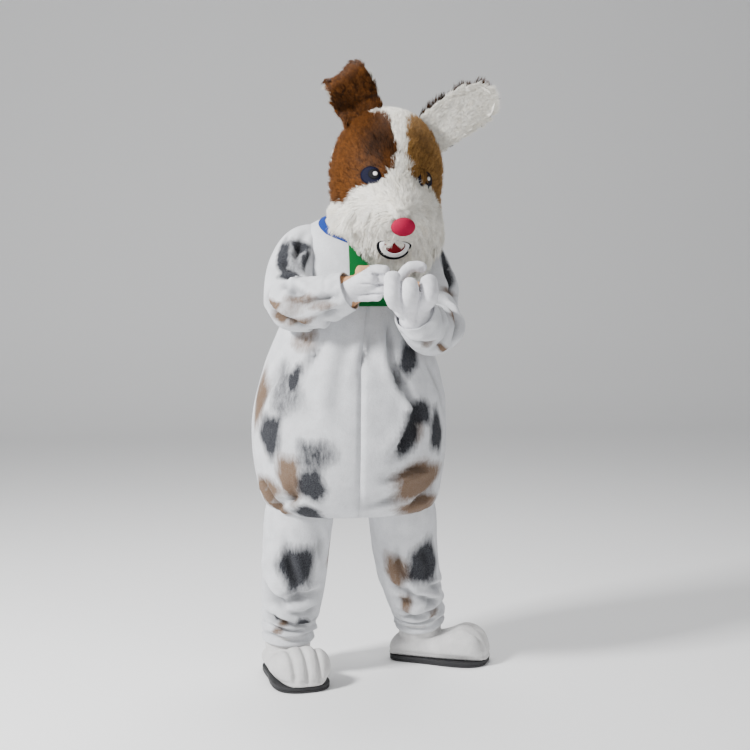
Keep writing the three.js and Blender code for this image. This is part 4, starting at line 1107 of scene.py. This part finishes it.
# Gloves: mittens of white plush over wadding, cupped, with the fingers stitched into soft rolls;
# the palms are beige plush, and the wrists go up inside the cuffs.
HANDS = {                       # centre x, y, z and half sizes, past the wrist
    "left": [
        [-20, -299, 1270, 38, 48],
        [10, -316, 1282, 34, 52],
        [34, -328, 1284, 26, 46],
        [48, -334, 1284, 3, 5],
    ],
    "right": [
        [140, -340, 1218, 46, 62],
        [132, -354, 1246, 42, 74],
        [130, -358, 1274, 36, 66],
        [130, -358, 1294, 3, 5],
    ],
}
DIGITS = {                      # from, through, to, and the roll's half thickness
    "left": [
        ((-30, -308, 1319), None, (70, -346, 1322), 18),
        ((-36, -314, 1296), None, (68, -350, 1292), 17),
        ((-36, -314, 1267), None, (62, -348, 1264), 17),
        ((-26, -308, 1243), None, (48, -340, 1246), 16),
    ],
    "right": [
        ((100, -352, 1224), (70, -400, 1244), (72, -390, 1320), 26),
        ((127, -352, 1224), (119, -410, 1244), (120, -396, 1297), 27),
        ((165, -350, 1226), (178, -402, 1244), (176, -384, 1307), 27),
        ((98, -348, 1284), (128, -350, 1330), (180, -356, 1324), 17),
    ],
}
PALMS = {                       # where the palm shows, an outline in x and z
    "left": np.array([[-72, 1300], [-46, 1304], [-8, 1336], [60, 1344], [60, 1400], [-72, 1400]]),
    "right": np.array([[40, 1272], [220, 1272], [220, 1400], [40, 1400]]),
}


def closed_tube(points):
    """Corner points and faces of a tube of rings, closed at both ends."""
    rings, sides = points.shape[:2]
    number = np.arange(rings * sides).reshape(rings, sides)
    beside = np.roll(number, -1, axis=1)
    quads = np.stack([number[:-1], number[1:], beside[1:], beside[:-1]], axis=-1).reshape(-1, 4)
    return points.reshape(-1, 3), [*quads.tolist(), number[0].tolist(), number[-1][::-1].tolist()]


def grown_together(name, forms, voxel, smooth):
    """Closed forms joined into one soft skin."""
    corners, faces, first = [], [], 0
    for points, own in forms:
        corners.append(placed(points))
        faces += [[first + k for k in face] for face in own]
        first += len(points)
    mesh = bpy.data.meshes.new(name)
    mesh.from_pydata(np.concatenate(corners).tolist(), [], faces)
    piece = put_up(name, mesh)
    melt = piece.modifiers.new("melt", "REMESH")
    melt.mode = "VOXEL"
    melt.voxel_size = voxel * 0.001
    bpy.ops.object.modifier_apply(modifier="melt")
    soften = piece.modifiers.new("soften", "SMOOTH")
    soften.factor, soften.iterations = 0.5, smooth
    bpy.ops.object.modifier_apply(modifier="soften")
    return piece


def corners_of(piece):
    """A piece's points in the costume's millimetres, and its outward directions."""
    count = len(piece.data.vertices)
    points, out = np.zeros(3 * count), np.zeros(3 * count)
    piece.data.vertices.foreach_get("co", points)
    piece.data.vertices.foreach_get("normal", out)
    return points.reshape(-1, 3) * 1000 + SHOULDERS, out.reshape(-1, 3)


def cut_piece(piece, name, stay, wall):
    """A copy of the quads of a piece that stay, as cloth with its wall on the inside."""
    quads = np.array([tuple(face.vertices) for face in piece.data.polygons if len(face.vertices) == 4])
    points, _ = corners_of(piece)
    return cloth(name, points, quads[stay(points[quads].mean(axis=1))], wall)


def press_in(piece, points):
    """Moves the corners of a piece to these places."""
    piece.data.vertices.foreach_set("co", placed(points).astype(np.float32).reshape(-1))


def roll_line(start, through, end, steps):
    """A finger's middle line, bent so that it passes its middle place."""
    start, end = np.array(start, float), np.array(end, float)
    middle = (start + end) / 2 if through is None else 2 * np.array(through) - (start + end) / 2
    t = np.linspace(0, 1, steps)[:, None]
    return (1 - t) ** 2 * start + 2 * t * (1 - t) * middle + t * t * end


PLUSH_PALE, PALM_BEIGE = (0.78, 0.78, 0.81), (0.58, 0.32, 0.17)
STITCH_DEEP = 6.5               # how far the seams between the fingers pull in
for side in ("left", "right"):
    forms = []
    for start, through, end, half in DIGITS[side]:
        line = roll_line(start, through, end, 60)
        steps = np.linalg.norm(np.diff(line, axis=0), axis=1)
        gone = np.concatenate([[0], np.cumsum(steps)])
        to_tip = np.minimum(np.minimum(gone, gone[-1] - gone), half)
        size = np.sqrt(half**2 - (half - to_tip) ** 2)
        size = np.maximum(size * (1 + 0.035 * np.sin(gone / 9)), 1.2)
        rows = np.column_stack([line, size, size])
        forms.append(closed_tube(tube(rows, 48, 26, np.array([0.3, 0.4, 0.9]))[0]))
    cuff = tube(SLEEVES[side], SLEEVE_ROWS, SLEEVE_SIDES, SLEEVE_FACING)[0][-1]
    cuff_middle = cuff.mean(axis=0)
    inner = between(SLEEVES[side], np.array([0.9, 1.0]))
    inner[:, 3:] -= PLUSH + 2
    wrist = inner[1].copy()
    wrist[3:] *= 0.86
    hand = np.array([inner[0], inner[0] * 0.5 + inner[1] * 0.5, wrist, *HANDS[side]])
    forms.append(closed_tube(tube(hand, 60, 44, cuff[0] - cuff_middle)[0]))
    whole = grown_together(f"mitten_{side}", forms, 3.0, 5)
    points, out = corners_of(whole)
    x, y, z = points.T
    ease = 0.9 * np.sin(x / 6.1 + z / 9.3) * np.sin(y / 7.7 - z / 8.1)
    lines = [roll_line(start, through, end, 40) for start, through, end, _ in DIGITS[side]]
    halves = [half for *_, half in DIGITS[side]]
    away = np.stack([
        np.linalg.norm(points[:, None] - line[None], axis=-1).min(axis=1) / half
        for line, half in zip(lines, halves)
    ])
    first, second = np.sort(away, axis=0)[:2]
    stitched = nearness(second - first, 0.16) * np.clip((2.9 - first) / 0.7, 0, 1)
    if side == "left":
        stitched *= risen(x, -34, 30)
    points = points + out * (ease - STITCH_DEEP * stitched)[:, None]
    press_in(whole, points)

    def in_palm(middle, side=side, lines=lines, halves=halves):
        x, y, z = middle.T
        inside = within_outline(x, z, PALMS[side])
        if side == "left":
            inside |= (y > -312) & (x > -40) & (x < 60)
        for line, half in zip(lines, halves):
            away = np.linalg.norm(middle[:, None] - line[None], axis=-1).min(axis=1)
            inside &= away > half + 1.2
        if side == "left":
            inside |= (z > 1294 + 0.62 * (x + 55)) & (x < 12)
        return inside

    def in_cuff(middle, cuff_middle=cuff_middle, side=side):
        row = between(SLEEVES[side], np.array([0.9]))[0]
        along = cuff_middle - row[:3]
        return (middle - row[:3]) @ along < 12 * np.linalg.norm(along)

    for name, palm, look_name, slot, colour in (
        (f"glove_{side}", False, "glove_plush", "white_plush", PLUSH_PALE),
        (f"palm_{side}", True, "beige_plush", "beige_plush", PALM_BEIGE),
    ):
        def stays(middle, palm=palm):
            return (in_palm(middle) == palm) & ~in_cuff(middle)

        piece = cut_piece(whole, name + "_plush", stays, 3)
        dress(piece, plush(look_name, colour, False, 0.6), slot, name)
    bpy.data.objects.remove(whole)


# Ears: two layers of faux fur, sewn round the edge, standing up from the crown; the left one is
# rolled forward at its top, the right one is white inside and brown behind.
EARS = {                        # centre x, y, z in the head's frame, half width, direction across
    "left": np.array([
        [-78, 22, 178, 62, 0.85, -0.2, 0.5],
        [-92, 18, 226, 66, 0.87, -0.2, 0.48],
        [-112, 22, 262, 70, 0.88, -0.22, 0.45],
        [-132, 4, 292, 72, 0.86, -0.22, 0.47],
        [-152, -12, 322, 66, 0.82, -0.2, 0.55],
        [-164, 12, 340, 58, 0.78, -0.2, 0.6],
        [-170, 44, 330, 46, 0.78, -0.2, 0.6],
    ]),
    "right": np.array([
        [100, 0, 158, 60, 0.62, -0.1, -0.78],
        [140, -8, 192, 64, 0.62, -0.12, -0.78],
        [186, -22, 232, 66, 0.6, -0.14, -0.8],
        [230, -34, 268, 68, 0.58, -0.1, -0.82],
        [268, -44, 292, 62, 0.55, -0.08, -0.84],
        [296, -52, 306, 44, 0.52, -0.05, -0.86],
        [312, -58, 314, 20, 0.5, 0, -0.87],
    ]),
}
EAR_CUP = 14                    # how far the edges bend forward
EAR_ROWS, EAR_COLUMNS = 36, 24
EAR_COATS = {                   # the layer's side of the ear's middle, its fur, blades
    "ear_left_outer": (1, BROWN_FUR, "brown_fur", 10500),
    "ear_left_lining": (-1, WHITE_FUR, "white_fur", 5500),
    "ear_right_lining": (1, WHITE_FUR, "white_fur", 10500),
    "ear_right_outer": (-1, BROWN_FUR, "brown_fur", 5500),
}
EAR_CUTS = {                    # the cut of each layer: width, length and area, in metres
    "ear_left_outer": (0.15, 0.26, 0.0285),
    "ear_left_lining": (0.15, 0.25, 0.0278),
    "ear_right_lining": (0.14, 0.27, 0.0306),
    "ear_right_outer": (0.142, 0.27, 0.0313),
}
for n, (name, (face, furry, fur_slot, blades)) in enumerate(EAR_COATS.items()):
    rows = EARS[name.split("_")[1]]
    t = np.linspace(0, 1, EAR_ROWS)
    row = between(rows, t)
    along = between(rows, np.minimum(t + 0.02, 1)) - between(rows, np.maximum(t - 0.02, 0))
    along = unit(along[:, :3])
    across = row[:, 4:]
    across = unit(across - (across * along).sum(1, keepdims=True) * along)
    ahead = np.cross(across, along)
    flip = (ahead[:, 1] > 0) & (t < 0.5)
    ahead[flip] *= -1
    q = np.linspace(-1, 1, EAR_COLUMNS)
    full = np.sqrt(1 - 0.85 * q * q)

    def layer_at(out):
        return (
            row[:, None, :3]
            + (q[None, :] * row[:, 3:4])[..., None] * across[:, None]
            + (EAR_CUP * q**2 + out * full)[None, :, None] * ahead[:, None]
        )

    outside = layer_at(8.0 * face)
    keep = head_field((outside[:-1, :-1] + outside[1:, 1:]) / 2) < 0.02
    skin = sewn_grid(f"{name}_backing", on_body(layer_at(4.0 * face)), keep=keep, wall=2.5)
    dress(skin, furry, fur_slot, name)
    corners = np.stack([outside[:-1, :-1], outside[1:, :-1], outside[1:, 1:]], axis=-2)[keep]
    others = np.stack([outside[:-1, :-1], outside[1:, 1:], outside[:-1, 1:]], axis=-2)[keep]
    roots = scattered(np.concatenate([corners, others]), blades, 71 + n)
    flat, places = outside.reshape(-1, 3), kdtree.KDTree(outside.size // 3)
    for i, p in enumerate(flat):
        places.insert(p, i)
    places.balance()
    near = np.array([places.find(p)[1] for p in roots])
    ring, column = near // EAR_COLUMNS, near % EAR_COLUMNS
    normals = face * ahead[:, None] + 0.45 * (q**3)[None, :, None] * across[:, None]
    normals = unit(normals[ring, column])
    edge = q[column]
    comb = along[ring] + 0.35 * edge[:, None] * across[ring]
    long = np.where(t[ring] > 0.8, 30.0, 22.0)
    if name == "ear_right_outer":
        over = edge < -0.55
        comb[over] -= 1.2 * across[ring][over]
        long[over] = 34
        long[edge > 0.35] = 11
    sunk = roots - normals * (4 * full[column])[:, None]
    coat = fur_coat(f"{name}_fur", sunk, normals, comb, long, 1.4, 0.3, 40, 81 + n, 0.35)
    dress(coat, furry, fur_slot)
    wide, long, cut = EAR_CUTS[name]


# Face: the eyes are navy felt discs with a black pupil and a white glint, the nose a stuffed pink
# felt button, and the mouth a black, a white and a red felt piece, all sewn on through the fur.
def felt(name, colour, rough):
    """Pressed felt: fine fibres of lighter and darker shades."""
    look, shader = new_look(name, rough, 0.1)
    fibre = noise(look, 900, 4)
    set_input(look, shader, "Base Color", mixed(look, fibre, times(0.72, colour), times(1.22, colour)))
    bumped(look, shader, fibre, 0.35, 0.0012)
    return look


def on_head(name, node, x, z, outline, start, end, rings, thick, dome, colour, slot, rough=0.85):
    """A felt piece on the front of the head; outline gives x and z at each turn."""
    turns = np.linspace(0, 2 * np.pi, 72, endpoint=False)
    dx, dz = outline(turns)
    share = np.linspace(end, start, rings)[:, None]
    places = np.stack(np.broadcast_arrays(x + dx * share, 0.0, z + dz * share), axis=-1)
    surface = head_reach(places, np.broadcast_to(np.array([0, -1.0, 0]), places.shape))
    surface[..., 1] -= thick + dome * np.sqrt(np.maximum(1 - share**2, 0))
    surface[..., 1] += 1.6 * nearness(1 - share, 0.03)
    piece = sewn_grid(name, on_body(surface[:, ::-1]), closed=True, wall=min(thick, 3))
    dress(piece, felt(name, colour, rough), slot, node)
    return piece


def disc(radius):
    return lambda turns: (radius * np.sin(turns), radius * np.cos(turns))


NAVY, BLACK, WHITE_FELT = (0.002, 0.003, 0.018), (0.006, 0.006, 0.008), (0.86, 0.85, 0.83)
PINK, RED = (0.38, 0.011, 0.05), (0.13, 0.004, 0.008)
for side, sign in (("left", -1), ("right", 1)):
    x = sign * EYE_X
    eye = on_head(
        f"eye_{side}_felt", f"eye_{side}", x, EYE_Z, disc(EYE_RADIUS),
        1, 0.02, 14, 2.2, 3, NAVY, "navy_plastic", 0.6,
    )
    pupil = on_head(
        f"pupil_{side}_felt", f"pupil_{side}", x + 7, EYE_Z + 4, disc(16),
        1, 0.02, 8, 6.5, 0.8, BLACK, "black_felt", 0.6,
    )
    glint = on_head(
        f"glint_{side}_felt", f"glint_{side}", x + 10, EYE_Z + 6, disc(6.5),
        1, 0.02, 5, 8.6, 0.5, WHITE_FELT, "white_felt",
    )


def nose_outline(turns):
    return NOSE_HALF * np.sin(turns), NOSE_UP * np.cos(turns)


def mouth_outline(turns):
    c = np.cos(turns)
    return MOUTH_HALF * np.sin(turns), np.where(c > 0, MOUTH_UP, MOUTH_DOWN) * c


nose = on_head(
    "nose_button", "nose", 0, NOSE_Z, nose_outline,
    1, 0.02, 22, 2, 17, PINK, "pink_felt", 0.8,
)
edging, lip, inner = (
    on_head(name, node, MOUTH_X, MOUTH_Z, mouth_outline, start, end, rings, thick, 0, colour, slot)
    for name, node, start, end, rings, thick, colour, slot in (
        ("mouth_outline_felt", "mouth_edge", 1, 0.86, 4, 2.8, BLACK, "black_felt"),
        ("mouth_lip_felt", "mouth_lip", 0.855, 0.6, 6, 2.6, WHITE_FELT, "white_felt"),
        ("mouth_inner_felt", "mouth_inner", 0.595, 0.02, 10, 2.4, RED, "red_felt"),
    )
)


# Collar and bib: a blue woven band round the neck, and a square of green cloth sewn to its front
# that hangs over the chest; both lie on the plush.
def woven(name, colour, thread):
    """Plain woven cloth: crossing threads as bump and slight changes of shade."""
    look, shader = new_look(name, 0.85, 0.2)
    place = add_node(look, "TexCoord", "Object", {})
    threads = {"Vector": place, "Scale": thread, "Distortion": 1.5, "Detail": 2}
    warp = add_node(look, "TexWave", "Fac", threads, bands_direction="X")
    weft = add_node(look, "TexWave", "Fac", threads, bands_direction="Z")
    cross = combined(look, "MULTIPLY", warp, weft)
    set_input(look, shader, "Base Color", mixed(look, cross, times(0.7, colour), times(1.3, colour)))
    bumped(look, shader, cross, 0.5, 0.0008)
    return look


COLLAR_FRONT, COLLAR_RISE, COLLAR_HALF = 1400, 96, 13
turn = np.linspace(-180, 180, 220, endpoint=False)
line = np.where(
    np.abs(turn) > 90,
    COLLAR_FRONT + COLLAR_RISE,
    COLLAR_FRONT + COLLAR_RISE * np.abs(np.sin(np.radians(turn))) ** 1.4,
)
finer = share_at(line)[None, :] + np.linspace(-0.06, 0.06, 601)[:, None]
reached = body_point(np.broadcast_to(turn, finer.shape), finer, False)
steps = np.linalg.norm(np.diff(reached, axis=0), axis=-1)
gone = np.concatenate([np.zeros((1, len(turn))), np.cumsum(steps, axis=0)])
gone -= gone[300]
band = np.zeros((9, len(turn), 3))
for i, length in enumerate(np.linspace(-COLLAR_HALF, COLLAR_HALF, 9)):
    nearest = np.abs(gone - length).argmin(axis=0)
    band[i] = reached[nearest, np.arange(len(turn))]
row = between(BODY, share_at(band[..., 2]))
out = unit(band - np.stack([row[..., 1], row[..., 2], band[..., 2] - 60], axis=-1))
ripple = 0.7 * np.sin(np.radians(turn * 14))[None, :] * np.linspace(1, 0.2, 9)[:, None]
collar = sewn_grid("collar_band", band + out * (4.2 + ripple)[..., None], closed=True, wall=2.2)
dress(collar, woven("blue_weave", (0.012, 0.05, 0.30), 260), "blue_cloth", "collar")

BIB_LEFT, BIB_RIGHT, BIB_LOW, BIB_TOP = -28, 116, 1212, 1404
x = np.linspace(BIB_LEFT, BIB_RIGHT, 56)[None, :]
z = np.linspace(BIB_TOP, BIB_LOW, 64)[:, None]
x, z = np.broadcast_arrays(x, z)
row = between(BODY, share_at(z))
across = np.minimum(np.abs((x - row[..., 1]) / row[..., 3]), 0.999)
y = row[..., 2] - row[..., 4] * (1 - across**BODY_SQUARE) ** (1 / BODY_SQUARE)
hang = (BIB_TOP - z) / (BIB_TOP - BIB_LOW)
fold = 2.2 * hang * np.sin(x / 17 + 0.8 * np.sin(z / 40)) + 1.1 * hang * np.sin(x / 31 + z / 55)
y = y - 4.6 - 2.0 * hang - fold
bib = sewn_grid("bib_cloth", np.stack([x, y, z], axis=-1), wall=1.6)
dress(bib, woven("green_weave", (0.003, 0.15, 0.03), 220), "green_cloth", "bib")


# Boots: big padded uppers of white plush with three toe seams, gathered into an ankle that goes up
# inside the leg; each stands on a black rubber sole that is glued and stitched to it.
BOOTS = {"left": ((-207, 33), 10), "right": ((256, 150), 64)}    # ankle x and y, degrees turned
BOOT = np.array([               # from the heel: y in the boot's frame, half width, height
    [98, 30, 40],
    [88, 58, 68],
    [60, 74, 88],
    [10, 80, 92],
    [-50, 84, 93],
    [-105, 92, 108],
    [-160, 94, 130],
    [-205, 84, 116],
    [-232, 58, 84],
    [-243, 26, 50],
])
BOOT_RINGS, BOOT_SIDES = 64, 56
SOLE_THICK = 20
SOLE_RINGS = (                  # height in mm, share of the sole's outline
    (0, 0.04), (0, 0.5), (0, 0.93), (1.5, 0.97), (5, 0.985), (8.4, 0.985), (9.2, 0.972), (10, 0.985),
    (16, 0.99), (19, 0.985), (19.7, 0.97), (19.7, 0.5), (19.7, 0.04),
)
TOE_SEAMS = (-44, 0, 44)
TOE_DEEP = 11
rubber, rubber_shader = new_look("black_rubber", 0.62, 0.5)
set_input(rubber, rubber_shader, "Base Color", (0.018, 0.018, 0.020, 1))
bumped(rubber, rubber_shader, noise(rubber, 600, 2), 0.3, 0.0006)
for side, (at, turned) in BOOTS.items():
    c, s = np.cos(np.radians(turned)), np.sin(np.radians(turned))
    turn_matrix = np.array([[c, -s, 0], [s, c, 0], [0, 0, 1]])
    at = np.array([*at, 0.0])
    row = between(BOOT, np.linspace(0, 1, BOOT_RINGS))
    middle = SOLE_THICK / 2 + row[:, 2] / 2 - 6
    angle = np.linspace(0, 2 * np.pi, BOOT_SIDES, endpoint=False)
    ca, sa = np.cos(angle), np.sin(angle)
    upper = np.stack([
        row[:, 1:2] * (np.sign(ca) * np.abs(ca) ** 0.8)[None],
        np.broadcast_to(row[:, :1], (BOOT_RINGS, BOOT_SIDES)),
        middle[:, None] + (row[:, 2] - middle)[:, None] * (np.sign(sa) * np.abs(sa) ** 0.9)[None],
    ], axis=-1)
    upper = upper @ turn_matrix.T + at
    leg = between(LEGS[side], np.array([0.9, 1.0]))
    leg[:, 3:] -= PLUSH + 2
    foot = np.array([at[0], at[1], 60, 66, 71])
    shaft = tube(np.array([leg[0], leg[1], foot]), 24, 48, np.array([1.0, 0, 0]))[0]
    whole = grown_together(f"whole_boot_{side}", [closed_tube(upper), closed_tube(shaft)], 4.6, 5)
    points, out = corners_of(whole)
    x, y, z = ((points - at) @ turn_matrix).T
    press = np.zeros(len(points))
    for seam in TOE_SEAMS:
        reach = np.clip((-118 - 14 * (seam == 0) - y) / 36, 0, 1) * risen(z, 26, 26)
        press += TOE_DEEP * reach * nearness(x - seam * (1 + (y + 200) / 700), 8)
    press += 3.2 * nearness(z - 34, 6)
    ankle = nearness(z - 92, 16) * risen(y, -90, 60)
    press += 2.4 * np.sin(y / 8 + 0.02 * x) * ankle
    points = points - out * press[:, None]
    press_in(whole, points)

    def shown(middle, leg=leg):
        return (middle[:, 2] > SOLE_THICK + 0.5) & (middle[:, 2] < leg[0, 2] - 3)

    boot = cut_piece(whole, f"boot_{side}_plush", shown, 5)
    bpy.data.objects.remove(whole)
    dress(boot, plush("boot_plush", (0.72, 0.71, 0.70), False), "white_plush", f"boot_{side}")

    edge = between(BOOT, np.linspace(0, 1, 40))
    around = np.concatenate([
        np.column_stack([edge[:, 1] - 2, edge[:, 0]]),
        np.column_stack([-(edge[::-1, 1] - 2), edge[::-1, 0]]),
    ])
    hub = np.array([0.0, -60.0])
    rings = []
    for height, share in SOLE_RINGS:
        flat = hub + (around - hub) * share
        rings.append(np.column_stack([flat, np.full(len(flat), float(height))]))
    corners, faces = closed_tube(np.stack(rings) @ turn_matrix.T + at)
    mesh = bpy.data.meshes.new(f"sole_{side}_rubber")
    mesh.from_pydata(placed(corners).tolist(), [], faces)
    sole = put_up(f"sole_{side}_rubber", mesh)
    bpy.ops.object.mode_set(mode="EDIT")
    bpy.ops.mesh.select_all(action="SELECT")
    bpy.ops.mesh.normals_make_consistent(inside=False)
    bpy.ops.object.mode_set(mode="OBJECT")
    bpy.ops.object.shade_smooth_by_angle(angle=np.radians(40))
    dress(sole, rubber, "black_sole", f"sole_{side}")
